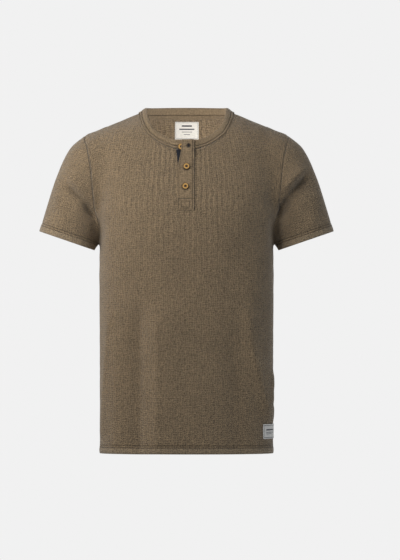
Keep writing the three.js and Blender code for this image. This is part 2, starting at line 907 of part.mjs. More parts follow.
// Round four-hole buttons
function buttonGeometry() {
  const ring = (radius, count, x = 0, y = 0) => {
    const points = [];
    for (let step = 0; step < count; step += 1) {
      const angle = (step / count) * 360 * radian;
      const across = x + radius * Math.cos(angle);
      points.push(new THREE.Vector2(across, y + radius * Math.sin(angle)));
    }
    return points;
  };
  const shape = new THREE.Shape(ring(buttonRadius - buttonBevel, 24));
  for (const [x, y] of [[1, 1], [-1, 1], [-1, -1], [1, -1]]) {
    const hole = ring(buttonHoleRadius, 6, x * buttonHoleOffset, y * buttonHoleOffset);
    shape.holes.push(new THREE.Path(hole));
  }
  return new THREE.ExtrudeGeometry(shape, {
    depth: buttonThickness - 2 * buttonBevel,
    bevelThickness: buttonBevel,
    bevelSize: buttonBevel,
    bevelSegments: 1,
    curveSegments: 1,
  }).translate(0, 0, buttonBevel);
}

for (const [name, [x, z, out]] of Object.entries(buttons.rows)) {
  const spot = stripPlace(x, z);
  const geometry = buttonGeometry();
  const turn = new THREE.Quaternion();
  turn.setFromUnitVectors(new THREE.Vector3(0, 0, 1), new THREE.Vector3(...spot.normal));
  geometry.applyQuaternion(turn);
  geometry.translate(...layer(spot, out));
  add(name, 'wood', geometry);
}

// Labels inside the back
const labelOut = -wallThickness - labelGap;
const labelIn = labelOut - labelThickness;
for (const [name, [x0, x1, z0, z1]] of Object.entries(labels.rows)) {
  const spots = [0, 1, 2, 3, 4].map((row) => [0, 1, 2, 3, 4, 5, 6].map((column) => {
    const x = x0 + ((x1 - x0) * column) / 6;
    return place(viewPoint(x, z0 + ((z1 - z0) * row) / 4, 1));
  }));
  add(name, 'label', gridBody(layers(spots, labelOut), layers(spots, labelIn)));
}

// Side label wrapped round the wearer's left side near the hem
const sideSpots = [0, 1, 2, 3].map((row) => [0, 1, 2, 3, 4, 5, 6, 7, 8].map((column) => {
  const z = sideLabelLow + ((sideLabelHigh - sideLabelLow) * row) / 3;
  const y = sideLabelFront + ((sideLabelBack - sideLabelFront) * column) / 8;
  return place(settleKeeping(settleKeeping([170, y, z], 1), 2));
}));
const sideLabelOut = labelGap + labelThickness;
add('side_label', 'label', gridBody(layers(sideSpots, sideLabelOut), layers(sideSpots, labelGap)));

export default garment;
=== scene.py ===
import math

import bpy
import numpy as np
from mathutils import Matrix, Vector


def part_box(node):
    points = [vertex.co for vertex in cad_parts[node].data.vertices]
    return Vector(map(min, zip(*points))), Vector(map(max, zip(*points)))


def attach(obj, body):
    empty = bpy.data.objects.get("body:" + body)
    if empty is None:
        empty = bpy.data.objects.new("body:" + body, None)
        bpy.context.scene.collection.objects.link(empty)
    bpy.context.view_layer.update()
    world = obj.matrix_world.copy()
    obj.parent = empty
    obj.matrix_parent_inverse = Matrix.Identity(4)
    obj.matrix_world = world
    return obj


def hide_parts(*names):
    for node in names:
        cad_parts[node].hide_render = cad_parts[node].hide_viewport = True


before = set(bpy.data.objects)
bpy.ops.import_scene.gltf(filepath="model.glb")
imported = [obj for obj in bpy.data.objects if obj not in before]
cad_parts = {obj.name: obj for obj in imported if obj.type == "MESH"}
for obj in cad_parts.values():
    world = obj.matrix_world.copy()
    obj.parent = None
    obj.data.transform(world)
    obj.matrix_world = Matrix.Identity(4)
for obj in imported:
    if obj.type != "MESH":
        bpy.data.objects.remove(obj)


def saveSize():
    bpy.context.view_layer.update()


saveSize()
print("frame loaded")

# Shared sizes, in millimetres like the cut; meshes are scaled to metres at the end
hemHeight = -694.5
hemStitches = (12.4, 17.2)
topstitchDepth = 6
armpitRow = 21
rowCount = 33
placketRow = 22
placketFoot = -200
placketTop = -55
neckFoot = -74
stripEdge = 18.5
shoulderPoint = [204, 0, -47]
highShoulder = [95, 0, 0]
armpitPoint = [176, 0, -244]
sideWidth = 176.0
cuffCentre = [243.8, -4, -256]
cuffTilt = math.radians(19)
cuffDrop = 4.5
armTop = 220
armSquareness = 2.1
blendWidth = 22
clothThickness = 1.5
stitchWidth = 0.75
farFromEdge = 90.0
neckCount = 8
shoulderCount = 7
backNeckCount = 6
sleeveRings = 12
fine = 5

# Body sections: z, half width, depth in front of and behind the side seam, squareness
bodySections = np.array([
    [24, 40, 4, 34, 2.35], [8, 80, 16, 50, 2.35],
    [0, 98, 30, 58, 2.35], [-13, 127.5, 48, 66, 2.35],
    [-34, 175, 66, 76, 2.35], [-60, 198, 77, 86, 2.5],
    [-80, 198, 85, 92, 2.6], [-110, 194, 94, 99, 2.75],
    [-150, 186, 106, 106, 2.9], [-200, 177, 117, 111, 3],
    [-250, 173, 119, 110, 3], [-300, 177.5, 115, 106, 2.8],
    [-400, 177.5, 107, 100, 2.6], [-500, 177, 103, 101, 2.5],
    [-600, 177, 105, 106, 2.4], [-710, 177, 110, 110, 2.4],
])

# Arm sections: distance up from the cuff, half width, half depth
armSections = np.array([
    [244, 2, 3], [231, 12, 20], [211, 33, 40],
    [193, 46, 49], [177, 54, 54], [150, 59.3, 58],
    [123, 61.2, 60], [97, 62, 60], [45, 60.5, 57],
    [0, 58.6, 55], [-30, 58.2, 54],
])

armholeFront = [
    [180, -36, -226], [187, -60, -194], [192, -70, -150],
    [196, -68, -112], [202, -48, -74], [206, -24, -54],
]
armholeBack = [
    [180, 36, -226], [187, 60, -196], [190, 72, -150],
    [194, 70, -110], [201, 50, -74], [206, 26, -54],
]
neckSeam = np.array([
    [18.5, -74], [40, -68], [58, -58.5], [78, -43],
    [88.5, -26], [94, -10], [95, 0],
])

# Creases: start, end, widths to lower and higher x, and height; the small ones show only in the cloth
frontCreases = [
    [-250, -143, -204, -181, 22, 10, -5], [-204, -181, -186, -214, 16, 9, -7],
    [247, -124, 204, -172, 10, 24, -7], [204, -172, 185, -212, 9, 18, -8],
    [241, -110, 204, -150, 14, 10, 5], [-242, -122, -208, -160, 10, 14, 3],
    [-172, -190, -166, -280, 15, 15, 4], [172, -190, 166, -280, 15, 15, 5],
    [-159, -410, -171, -665, 11, 11, 3], [-143, -440, -146, -710, 15, 15, 3],
    [-98, -395, -100, -710, 32, 14, -7], [-56, -385, -55, -710, 22, 60, 11],
    [30, -540, 26, -710, 26, 26, 1.5], [96, -450, 106, -710, 32, 20, -5],
    [124, -400, 134, -490, 13, 22, 6], [134, -490, 166, -634, 12, 24, 8],
    [174, -520, 168, -600, 11, 11, 3], [-150, -228, -70, -330, 26, 26, -2],
    [150, -232, 76, -345, 30, 30, -2], [150, -300, 120, -420, 24, 24, 3],
    [-262, -160, -250, -235, 13, 13, 3], [268, -160, 258, -235, 13, 13, 3],
]
backCreases = [
    [-240, -130, -196, -184, 18, 10, -5], [240, -126, 197, -180, 10, 18, -5],
    [-196, -184, -180, -216, 14, 9, -6], [197, -180, 182, -210, 9, 14, -6],
    [-170, -190, -164, -280, 15, 15, 4], [170, -190, 164, -280, 15, 15, 5],
    [-132, -220, -40, -300, 26, 26, -4], [136, -226, 52, -316, 30, 24, -4],
    [-60, -420, -78, -710, 16, 26, 6], [-104, -470, -118, -710, 17, 17, -4],
    [20, -440, 26, -710, 22, 22, -5], [66, -450, 74, -710, 18, 30, 5],
    [120, -430, 134, -710, 19, 19, -5], [156, -480, 164, -710, 13, 13, 4],
    [-150, -460, -160, -710, 14, 14, 4], [-20, -360, 60, -400, 24, 24, 3],
    [256, -160, 246, -236, 14, 14, 3], [-256, -160, -246, -236, 14, 14, 3],
]
smallCreases = [
    [-246, -146, -207, -183, 7, 4, -2], [-207, -183, -189, -214, 7, 4, -2.5],
    [-189, -208, -180, -250, 7, 3.5, -4], [247, -127, 206, -173, 4, 9, -3],
    [206, -173, 186, -196, 4, 9, -4], [188, -192, 180, -250, 3.5, 8, -6],
    [240, -114, 203, -152, 9, 5, 2.6], [-157, -424, -168, -580, 5, 4, 1.4],
    [-168, -570, -171, -668, 5, 4, 1.2], [-172, -500, -175, -640, 4, 4, -1.2],
    [-57, -420, -56, -710, 8, 4, 1.5], [126, -416, 134, -496, 5, 9, 1.2],
    [133, -486, 167, -634, 4.5, 9, 1.7], [173, -534, 168, -588, 4, 5, 1.4],
    [176, -560, 174, -600, 4, 4, -2],
]
creases = [(-1, *row) for row in frontCreases] + [(1, *row) for row in backCreases]
creases += [(-1, *row) for row in smallCreases]


def pairUp(first, second):
    return np.stack(np.broadcast_arrays(first, second), -1)


def smooth(low, high, value):
    share = np.clip((value - low) / (high - low), 0, 1)
    return share * share * (3 - 2 * share)


def bell(distance, width=stitchWidth):
    return np.exp(-((distance / width) ** 2))


def hermite(share, start, leave, end, arrive):
    square, cube = share**2, share**3
    return (
        start * (2 * cube - 3 * square + 1)
        + leave * (cube - 2 * square + share)
        + end * (3 * square - 2 * cube)
        + arrive * (cube - square)
    )


def readTable(table, at):
    # a smooth curve through the rows of a table, read by its first column
    rows = table if table[0, 0] < table[-1, 0] else table[::-1]
    x = rows[:, 0]
    last = len(x) - 1
    after, before = np.append(np.arange(last) + 1, last), np.append(0, np.arange(last))
    slopes = (rows[after] - rows[before]) / (x[after] - x[before])[:, None]
    at = np.asarray(at, float)
    index = np.clip(np.searchsorted(x, at) - 1, 0, last - 1)
    span = (x[index + 1] - x[index])[..., None]
    share = np.clip((at - x[index])[..., None] / span, 0, 1)
    leave, arrive = slopes[index] * span, slopes[index + 1] * span
    return hermite(share, rows[index], leave, rows[index + 1], arrive)[..., 1:]


def sectionDistance(across, along, halfWidth, halfDepth, squareness):
    reach = np.maximum(np.hypot(across, along), 1e-6)
    ratio = np.abs(across / halfWidth) ** squareness + np.abs(along / halfDepth) ** squareness
    return reach * (1 - 1 / np.maximum(ratio ** (1 / squareness), 1e-9))


def bodyDistance(p):
    size = readTable(bodySections, p[..., 2])
    depth = np.where(p[..., 1] < 0, size[..., 1], size[..., 2])
    return sectionDistance(p[..., 0], p[..., 1], size[..., 0], depth, size[..., 3])


def armDistance(p):
    across = np.abs(p[..., 0]) - cuffCentre[0]
    rise = p[..., 2] - cuffCentre[2]
    outward = across * math.cos(cuffTilt) + rise * math.sin(cuffTilt)
    upward = rise * math.cos(cuffTilt) - across * math.sin(cuffTilt)
    size = readTable(armSections, upward)
    beyond = np.maximum(0, upward - armTop) * 0.7
    depth = p[..., 1] - cuffCentre[1]
    return sectionDistance(outward, depth, size[..., 0], size[..., 1], armSquareness) + beyond


def bodyShare(body, arm, width):
    return np.clip(0.5 + 0.5 * (arm - body) / width, 0, 1)


def formDistance(p):
    body, arm = bodyDistance(p), armDistance(p)
    share = bodyShare(body, arm, blendWidth)
    return arm + (body - arm) * share - blendWidth * share * (1 - share)


def formGradient(p):
    step = 0.4
    slopes = []
    for axis in range(3):
        move = np.zeros(3)
        move[axis] = step
        slopes.append((formDistance(p + move) - formDistance(p - move)) / (2 * step))
    return np.stack(slopes, -1)


def settle(p, keep=None, turns=10):
    p = np.array(p, float)
    for _ in range(turns):
        slope = formGradient(p)
        if keep is not None:
            slope[..., keep] = 0
        away = formDistance(p)
        p = p - slope * (away / np.maximum((slope**2).sum(-1), 1e-9))[..., None]
    return p


def viewPoint(x, z, side):
    x, z = np.broadcast_arrays(np.asarray(x, float), np.asarray(z, float))
    low, high = np.zeros(x.shape), np.full(x.shape, 170.0)
    for _ in range(30):
        middle = (low + high) / 2
        inside = formDistance(np.stack([x, side * middle, z], -1)) < 0
        low, high = np.where(inside, middle, low), np.where(inside, high, middle)
    return np.stack([x, side * low, z], -1)


def creaseHeight(p):
    height = np.zeros(p.shape[:-1])
    for side, x0, z0, x1, z1, low, high, rise in creases:
        length = math.hypot(x1 - x0, z1 - z0)
        along = ((p[..., 0] - x0) * (x1 - x0) + (p[..., 2] - z0) * (z1 - z0)) / length
        away = ((p[..., 0] - x0) * (z1 - z0) - (p[..., 2] - z0) * (x1 - x0)) / length
        halfWidth, fade = np.where(away > 0, low, high), (low + high) / 2
        ends = smooth(-fade, fade * 1.5, along) * smooth(-fade, fade * 1.5, length - along)
        shown = smooth(4, 34, side * p[..., 1])
        height += rise * bell(away, halfWidth) * ends * shown
    share = bodyShare(bodyDistance(p), armDistance(p), blendWidth * 2)
    valley = 4 * share * (1 - share) * smooth(205, 240, -p[..., 2])
    return height * (1 - valley)


def unit(v):
    return v / np.maximum(np.linalg.norm(v, axis=-1, keepdims=True), 1e-9)


def place(p):
    normal = unit(formGradient(p))
    return p + normal * creaseHeight(p)[..., None], normal


def runLength(line):
    return np.concatenate([[0], np.cumsum(np.linalg.norm(np.diff(line, axis=0), axis=1))])


def readLine(line, lengths, at):
    return np.stack([np.interp(at, lengths, line[:, k]) for k in range(3)], -1)


def spread(line, count):
    line = np.asarray(line, float)
    lengths = runLength(line)
    return readLine(line, lengths, np.linspace(0, lengths[-1], count + 1))


def curveThrough(controls):
    p = np.asarray(controls, float)
    p = np.vstack([2 * p[0] - p[1], p, 2 * p[-1] - p[-2]])
    share = np.linspace(0, 1, 24, endpoint=False)[:, None]
    out = []
    for k in range(1, len(p) - 2):
        a, b, c, d = p[k - 1 : k + 3]
        r, s, t = (math.sqrt(np.linalg.norm(v)) for v in (b - a, c - b, d - c))
        leave = ((b - a) / r - (c - a) / (r + s) + (c - b) / s) * s
        arrive = ((c - b) / s - (d - b) / (s + t) + (d - c) / t) * s
        out.append(hermite(share, b, leave, c, arrive))
    out.append(p[-2][None])
    return np.vstack(out)


def mirror(p):
    return p * np.array([-1, 1, 1])


# Seam lines on the wearer's left half, made at any fineness
armpit = settle(armpitPoint, 1)
shoulderTip = settle(shoulderPoint, 1)
neckTip = settle(highShoulder, 1)
armholeCount = rowCount - armpitRow


def armhole(controls, count):
    line = settle(curveThrough([armpit, *controls, shoulderTip]))
    line = settle(spread(line, count))
    line[0], line[-1] = armpit, shoulderTip
    return line


def sideSeam(count):
    heights = np.linspace(hemHeight, armpit[2], count + 1)
    line = settle(np.stack([np.full(count + 1, sideWidth), np.zeros(count + 1), heights], -1), 2)
    line[-1] = armpit
    return line


def shoulderSeam(count):
    share = np.linspace(0, 1, count + 1)[:, None]
    return settle(neckTip * (1 - share) + shoulderTip * share * np.array([1, 0, 1]), 1)


def frontNeck(count):
    share = np.linspace(0, len(neckSeam) - 1, 241)
    x, z = (np.interp(share, range(len(neckSeam)), neckSeam[:, k]) for k in (0, 1))
    line = viewPoint(x, z, -1)
    line[-1] = neckTip
    line = settle(spread(line, count))
    line[0], line[-1] = viewPoint(stripEdge, neckFoot, -1), neckTip
    return line


def backNeck(count):
    angle = np.linspace(0, math.pi / 2, 121)
    height = -4 * (1 - np.sin(angle) ** 6)
    depth = readTable(bodySections, height)[:, 2]
    line = settle(np.stack([neckTip[0] * np.sin(angle), depth * np.cos(angle), height], -1), 2)
    line[-1] = neckTip
    line = settle(spread(line, count), 2)
    line[-1] = neckTip
    return line


def hemLine(innerX, count, side):
    angle = np.linspace(0, math.pi / 2, 241)
    halfWidth, front, back = readTable(bodySections, np.array(float(hemHeight)))[:3]
    depth = front if side < 0 else back
    x = innerX + (halfWidth - innerX) * np.sin(angle)
    line = np.stack([x, side * (depth * np.cos(angle) + 0.01), np.full(x.shape, float(hemHeight))], -1)
    line = settle(line, 2)
    line[-1] = sideSeam(1)[0]
    return settle(spread(line, count), 2)


def stripHeights(detail):
    lower = np.linspace(hemHeight, placketFoot, placketRow * detail + 1)
    upper = np.linspace(placketFoot, neckFoot, (rowCount - placketRow) * detail + 1)
    return np.concatenate([lower, upper[1:]])


def coons(bottom, top, inner, outer):
    up = np.linspace(0, 1, len(inner))[:, None, None]
    out = np.linspace(0, 1, len(bottom))[None, :, None]
    low = (1 - out) * bottom[0] + out * bottom[-1]
    high = (1 - out) * top[0] + out * top[-1]
    level = (1 - out) * inner[:, None] + out * outer[:, None]
    return (1 - up) * bottom[None] + up * top[None] + level - ((1 - up) * low + up * high)


def finer(grid, detail):
    def along(values):
        count = len(values) - 1
        ends = np.concatenate([[2 * values[0] - values[1]], values, [2 * values[-1] - values[-2]]])
        steps = np.linspace(0, count, count * detail + 1)
        index = np.minimum(steps.astype(int), count - 1)
        t = (steps - index).reshape(-1, *[1] * (values.ndim - 1))
        a, b, c, d = (ends[index + k] for k in range(4))
        return b + 0.5 * t * (c - a + t * (2 * a - 5 * b + 4 * c - d + t * (3 * (b - c) + d - a)))

    return along(along(grid).swapaxes(0, 1)).swapaxes(0, 1)


def panelEdges(side, detail):
    # the four edges of half a panel, from the hem up and from the middle out
    if side < 0:
        innerX, columns, controls = stripEdge, neckCount, armholeFront
        neck = frontNeck(columns * detail)
        inner = viewPoint(innerX, stripHeights(detail), side)
    else:
        innerX, columns, controls = 0.0, backNeckCount, armholeBack
        neck = backNeck(columns * detail)
        inner = viewPoint(innerX, np.linspace(hemHeight, neck[0][2], rowCount * detail + 1), side)
    inner[-1] = neck[0]
    bottom = hemLine(innerX, (columns + shoulderCount) * detail, side)
    top = np.vstack([neck, shoulderSeam(shoulderCount * detail)[1:]])
    outer = np.vstack([sideSeam(armpitRow * detail), armhole(controls, armholeCount * detail)[1:]])
    bottom[0], bottom[-1] = inner[0], outer[0]
    return bottom, top, inner, outer


def evened(grid):
    return (grid[1:-1, :-2] + grid[1:-1, 2:] + grid[:-2, 1:-1] + grid[2:, 1:-1]) / 4


def patch(side):
    # a coarse net settled on the form, then made finer, fitted to its edges and evened out
    grid = settle(coons(*panelEdges(side, 1)))
    for _ in range(10):
        grid[1:-1, 1:-1] = settle(evened(grid), turns=4)
    bottom, top, inner, outer = panelEdges(side, fine)
    grid = finer(grid, fine)
    shift = coons(bottom - grid[0], top - grid[-1], inner - grid[:, 0], outer - grid[:, -1])
    grid = settle(grid + shift)
    grid[0], grid[-1], grid[:, 0], grid[:, -1] = bottom, top, inner, outer
    for turn in range(60):
        grid[1:-1, 1:-1] = evened(grid)
        if turn % 12 == 11:
            grid[1:-1, 1:-1] = settle(grid[1:-1, 1:-1], turns=4)
    return grid


frontHalf = patch(-1)
backHalf = patch(1)
print("panels settled")


def away(grid):
    # distances over the cloth from the four edges of a grid, in millimetres
    steps = np.linalg.norm(np.diff(grid, axis=1), axis=2)
    across = np.concatenate([np.zeros((len(grid), 1)), np.cumsum(steps, 1)], 1)
    steps = np.linalg.norm(np.diff(grid, axis=0), axis=2)
    up = np.concatenate([np.zeros((1, grid.shape[1])), np.cumsum(steps, 0)], 0)
    return across, across[:, -1:] - across, up, up[-1:] - up


def setUv(mesh, name, corners):
    layer = mesh.uv_layers.new(name=name)
    layer.data.foreach_set("uv", (corners / 1000).ravel().astype(np.float32))


def setShade(mesh, values):
    layer = mesh.attributes.new("shade", "FLOAT", "POINT")
    layer.data.foreach_set("value", values.ravel().astype(np.float32))


def addObject(name, data):
    added = bpy.data.objects.new(name, data)
    bpy.context.scene.collection.objects.link(added)
    return added


def addPiece(name, points, faces, smoothFaces=None):
    # points come in millimetres; smoothFaces says how many faces are smooth, all if it isn't given
    mesh = bpy.data.meshes.new(name)
    mesh.from_pydata((points / 1000).tolist(), [], faces)
    for polygon in mesh.polygons[:smoothFaces]:
        polygon.use_smooth = True
    mesh.update()
    return addObject(name, mesh)


def makeMesh(name, outer, inner, uv, ring=False, hole=None, edges=None, shade=None):
    # a closed wall between two grids of points; a ring joins its last column to its first
    rows, columns = outer.shape[:2]
    number = np.arange(rows * columns).reshape(rows, columns)
    following = np.roll(number, -1, axis=1) if ring else number[:, 1:]
    number = number if ring else number[:, :-1]
    faces = np.stack([number[:-1], following[:-1], following[1:], number[1:]], -1)
    corners = np.stack([uv[:-1, :-1], uv[:-1, 1:], uv[1:, 1:], uv[1:, :-1]], -2)
    keep = np.ones(faces.shape[:2], bool) if hole is None else ~hole
    total = rows * columns
    near, nearUv = faces[keep], corners[keep]
    far, farUv = near[:, ::-1] + total, nearUv[:, ::-1]
    sides = [[k, (k + 1) % 4] for k in range(4)]
    pairs = np.concatenate([near[:, side] for side in sides]).tolist()
    pairUv = np.concatenate([nearUv[:, side] for side in sides])
    paired = set(map(tuple, pairs))
    rim = [k for k, (a, b) in enumerate(pairs) if (b, a) not in paired]
    rims = [[pairs[k][1], pairs[k][0], pairs[k][0] + total, pairs[k][1] + total] for k in rim]
    allFaces = np.concatenate([near, far, rims])
    allUv = np.concatenate([nearUv, farUv, pairUv[rim][:, [1, 0, 0, 1]]])
    points = np.concatenate([outer.reshape(-1, 3), inner.reshape(-1, 3)])
    a, b, c, d = (points[allFaces[:, k]] for k in range(4))
    if (a * np.cross(b, c)).sum() + (a * np.cross(c, d)).sum() < 0:
        allFaces, allUv = allFaces[:, ::-1], allUv[:, ::-1]
    used, flat = np.unique(allFaces, return_inverse=True)
    piece = addPiece(name, points[used], flat.reshape(-1, 4).tolist())
    setUv(piece.data, "cloth", allUv)
    if edges is not None:
        edgeOf = np.full((2 * total, 2), farFromEdge)
        edgeOf[:total] = edges.reshape(-1, 2)
        setUv(piece.data, "edges", edgeOf[allFaces.ravel()])
    if shade is not None:
        shadeOf = np.zeros(2 * total)
        shadeOf[:total] = shade.ravel()
        setShade(piece.data, shadeOf[used])
    return piece


def furrow(distance):
    # the cloth rolls down into a seam and stands a little proud beside it
    return -0.5 * bell(distance, 1.3) + 0.3 * bell(distance - 4.5, 3)


def hollowShade(spot, most):
    # the bottoms of the creases catch less light
    return most * smooth(2, 9, -creaseHeight(spot))


def turnedHem(distance):
    # a turned hem: double cloth up to its second stitch line, and two sunk stitch lines
    height = 0.9 * (1 - smooth(12.5, 17.5, distance))
    for line in hemStitches:
        height -= 0.5 * bell(distance - line, 1.1)
    return height - 0.5 * bell(distance, 1.2)


def addCloth(name, grid, relief, uv, distances, most, **more):
    spot, normal = place(grid)
    outer, inner = spot + normal * relief[..., None], spot - normal * clothThickness
    edges, shade = np.stack(distances, -1), hollowShade(grid, most)
    return makeMesh(name, outer, inner, uv, edges=edges, shade=shade, **more)


def addPanel(facts, grid, hole=None):
    left, right, low, high = away(grid)
    side = np.minimum(left, right)
    pitch, drift, run = facts["puckers"]
    puckers = 0.35 * np.sin(low / pitch + drift * np.sin(low / run)) * np.exp(-side / 9)
    relief = furrow(left) + furrow(right) + furrow(high) + turnedHem(low) + puckers
    middle = (grid.shape[1] - 1) // 2
    uv = np.stack([left - left[:, middle : middle + 1], low], -1)
    return addCloth(facts["name"], grid, relief, uv, (side, high), 0.22, hole=hole)


# Front, with a hole where the plackets stand
front = {"name": "frontCloth", "flat": (0.587, 0.74), "area": 0.311, "puckers": (9.0, 1.3, 31)}
across = np.linspace(-stripEdge, stripEdge, 6 * fine + 1)[None, 1:-1]
strip = viewPoint(across, stripHeights(fine)[:, None], -1)
frontGrid = np.concatenate([mirror(frontHalf)[:, ::-1], strip, frontHalf], 1)
firstHole = frontHalf.shape[1] - 1 + fine
hole = np.zeros((frontGrid.shape[0] - 1, frontGrid.shape[1] - 1), bool)
hole[(placketRow + 1) * fine :, firstHole : firstHole + 3 * fine] = True
frontCloth = addPanel(front, frontGrid, hole)

# Back
back = {"name": "backCloth", "flat": (0.507, 0.745), "area": 0.32, "puckers": (8.0, 1.1, 27)}
backGrid = np.concatenate([mirror(backHalf)[:, ::-1], backHalf[:, 1:]], 1)
backCloth = addPanel(back, backGrid)
print("front and back made")

# Sleeves
sleeve = {"flat": (0.557, 0.224), "area": 0.052}


def sleeveGrid(detail):
    frontLine = armhole(armholeFront, armholeCount * detail)
    backLine = armhole(armholeBack, armholeCount * detail)
    start = np.vstack([frontLine, backLine[1:-1][::-1]])
    angle = np.linspace(0, 2 * math.pi, len(start), endpoint=False)
    halfWidth, halfDepth = readTable(armSections, np.array(-cuffDrop))
    outward = np.array([math.cos(cuffTilt), 0, math.sin(cuffTilt)])
    down = np.array([math.sin(cuffTilt), 0, -math.cos(cuffTilt)])
    cuff = np.array(cuffCentre) + cuffDrop * down - halfWidth * np.cos(angle)[:, None] * outward
    cuff[:, 1] -= halfDepth * np.sin(angle)
    length = np.linalg.norm(cuff - start, axis=1)[:, None] * 0.9
    share = np.linspace(0, 1, sleeveRings * detail + 1)[:, None, None]
    grid = hermite(share, start, length * np.array([0.75, 0, -0.45]), cuff, length * down)
    grid[1:] = settle(grid[1:])
    return grid[::-1]


def closed(grid):
    return np.concatenate([grid, grid[:, :1]], 1)


def addSleeve(name, grid):
    left, right, up, down = away(closed(grid))
    high, under = down[:, :-1], np.minimum(left, right)[:, :-1]
    puckers = 0.3 * np.sin(left[:, :-1] / 7.5) * np.exp(-high / 9)
    relief = furrow(high) + furrow(under) * 0.8 + turnedHem(up[:, :-1]) + puckers
    uv = np.stack([left - left[:, -1:] / 2, up], -1)
    return addCloth(name, grid, relief, uv, (under, high), 0.5, ring=True)


leftGrid = sleeveGrid(fine + 1)
rightGrid = mirror(leftGrid)
sleeveLeft = addSleeve("leftSleeve", leftGrid)
sleeveRight = addSleeve("rightSleeve", rightGrid)
print("sleeves made")


def makeTube(name, rings, uv, shade):
    # a closed tube through rings of points, with flat ends
    stations, sides = rings.shape[:2]
    number = np.arange(stations * sides).reshape(stations, sides)
    turned = np.roll(number, -1, axis=1)
    faces = np.stack([number[:-1], turned[:-1], turned[1:], number[1:]], -1).reshape(-1, 4)
    corners = np.stack([uv[:-1, :-1], uv[:-1, 1:], uv[1:, 1:], uv[1:, :-1]], -2).reshape(-1, 4, 2)
    startUv, endUv = uv[0, :-1][::-1], uv[-1, :-1]
    points = rings.reshape(-1, 3)
    a, b, c = (points[faces[:, k]] for k in range(3))
    polygons = faces.tolist() + [number[0][::-1].tolist(), number[-1].tolist()]
    if (a * np.cross(b, c)).sum() < 0:
        polygons = [polygon[::-1] for polygon in polygons]
        corners, startUv, endUv = corners[:, ::-1], startUv[::-1], endUv[::-1]
    piece = addPiece(name, points, polygons, len(faces))
    setUv(piece.data, "cloth", np.concatenate([corners.reshape(-1, 2), startUv, endUv]))
    setShade(piece.data, shade)
    return piece


# Neckband: folded strip with a topstitched ridge along its seam
band = {"flat": (0.605, 0.0185), "area": 0.0111, "seam": 0.2, "groove": 5.1}
bandProfile = np.array([
    [0.2, -1.9], [0.25, 0.5], [0.9, 1.15], [2.4, 1.7],
    [3.6, 1.5], [4.3, 0.6], [4.9, -0.1], [5.6, 0],
    [6.6, 0.8], [8.5, 1.1], [11.5, 1.15], [14.2, 1],
    [16.2, 0.6], [17.3, 0], [17.6, -0.6], [17.3, -1.3],
    [16, -1.9], [13, -2], [9, -2], [4, -2],
])


def bandDirection(p):
    level = np.stack([-p[..., 0], -8 - p[..., 1], np.zeros(p.shape[:-1])], -1)
    turn = np.abs(p[..., 0] / neckTip[0]) ** 2.2
    lean = 0.18 + 1.16 * turn * (1 - 0.5 * smooth(0, 34, p[..., 1]))
    return unit(np.array([0, 0, 1]) + unit(level) * lean[..., None])


near, rear = frontNeck(neckCount * fine), backNeck(backNeckCount * fine)
bandLine = np.vstack([
    viewPoint([17.3], neckFoot, -1),
    near,
    rear[:-1][::-1],
    mirror(rear[1:-1]),
    mirror(near[::-1]),
    viewPoint([-16, -13, -10, -6, -2, 2, 5.5], neckFoot, -1),
])
bandUp = bandDirection(bandLine)
bandWay = np.vstack([bandLine[1] - bandLine[0], bandLine[2:] - bandLine[:-2], bandLine[-1] - bandLine[-2]])
bandOut = unit(np.cross(bandWay, bandUp))
bandLength = runLength(bandLine)
wave = 0.12 * np.sin(bandLength / 11) + 0.08 * np.sin(bandLength / 4.7 + 1)
crumple = smooth(60, 22, np.abs(bandLine[:, 0])) * (bandLine[:, 1] < 0)
wave = wave + crumple * (0.4 * np.sin(bandLength / 2.6) + 0.4 * np.sin(bandLength / 4.3))
profileUp, profileOut = bandProfile[:, 0], bandProfile[:, 1]
rings = (
    bandLine[:, None]
    + bandUp[:, None] * profileUp[None, :, None]
    + bandOut[:, None] * (profileOut[:, None] + wave[:, None, None] * (profileOut[:, None] > 0.3))
)
around = runLength(np.vstack([bandProfile, bandProfile[:1]]))
bandUv = pairUp(around[None, :], bandLength[:, None])
bandShade = 0.8 * bell(profileUp - band["groove"], 0.8) * (profileOut > -0.5)
bandShade = bandShade + 0.45 * bell(profileUp - band["seam"], 0.4)
neckBand = makeTube("neckBand", rings, bandUv, np.broadcast_to(bandShade, rings.shape[:2]))


def readRow(source, distance, at):
    # the row read off a grid of values where a distance has one value
    return np.array([
        [np.interp(at, distance[:, k], source[:, k, axis]) for axis in range(3)]
        for k in range(distance.shape[1])
    ])


# Neck tape inside the back neck seam
tape = {"flat": (0.268, 0.01), "area": 0.0022, "height": 7, "depths": (2.15, 2.8)}
middle = (backGrid.shape[1] - 1) // 2
tapeColumns = slice(middle - backNeckCount * fine, middle + backNeckCount * fine + 1)
backSpot, backNormal, tapeDown = (
    source[::-1, tapeColumns] for source in (*place(backGrid), away(backGrid)[3])
)
tapeSpot, tapeNormal = [], []
for distance in np.linspace(tape["height"], 0.5, 5):
    tapeSpot.append(readRow(backSpot, tapeDown, distance))
    tapeNormal.append(readRow(backNormal, tapeDown, distance))
firstRear = 1 + neckCount * fine
rearStations = slice(firstRear, firstRear + tapeDown.shape[1])
for rise in (0.6, 1.8):
    tapeSpot.append((bandLine[rearStations] + bandUp[rearStations] * rise)[::-1])
    tapeNormal.append(bandOut[rearStations][::-1])
tapeSpot, tapeNormal = np.array(tapeSpot, float), unit(np.array(tapeNormal, float))
left, right, low, high = away(tapeSpot)
outer, inner = (tapeSpot - tapeNormal * depth for depth in tape["depths"])
neckTape = makeMesh("neckTape", outer, inner, np.stack([left, low], -1))


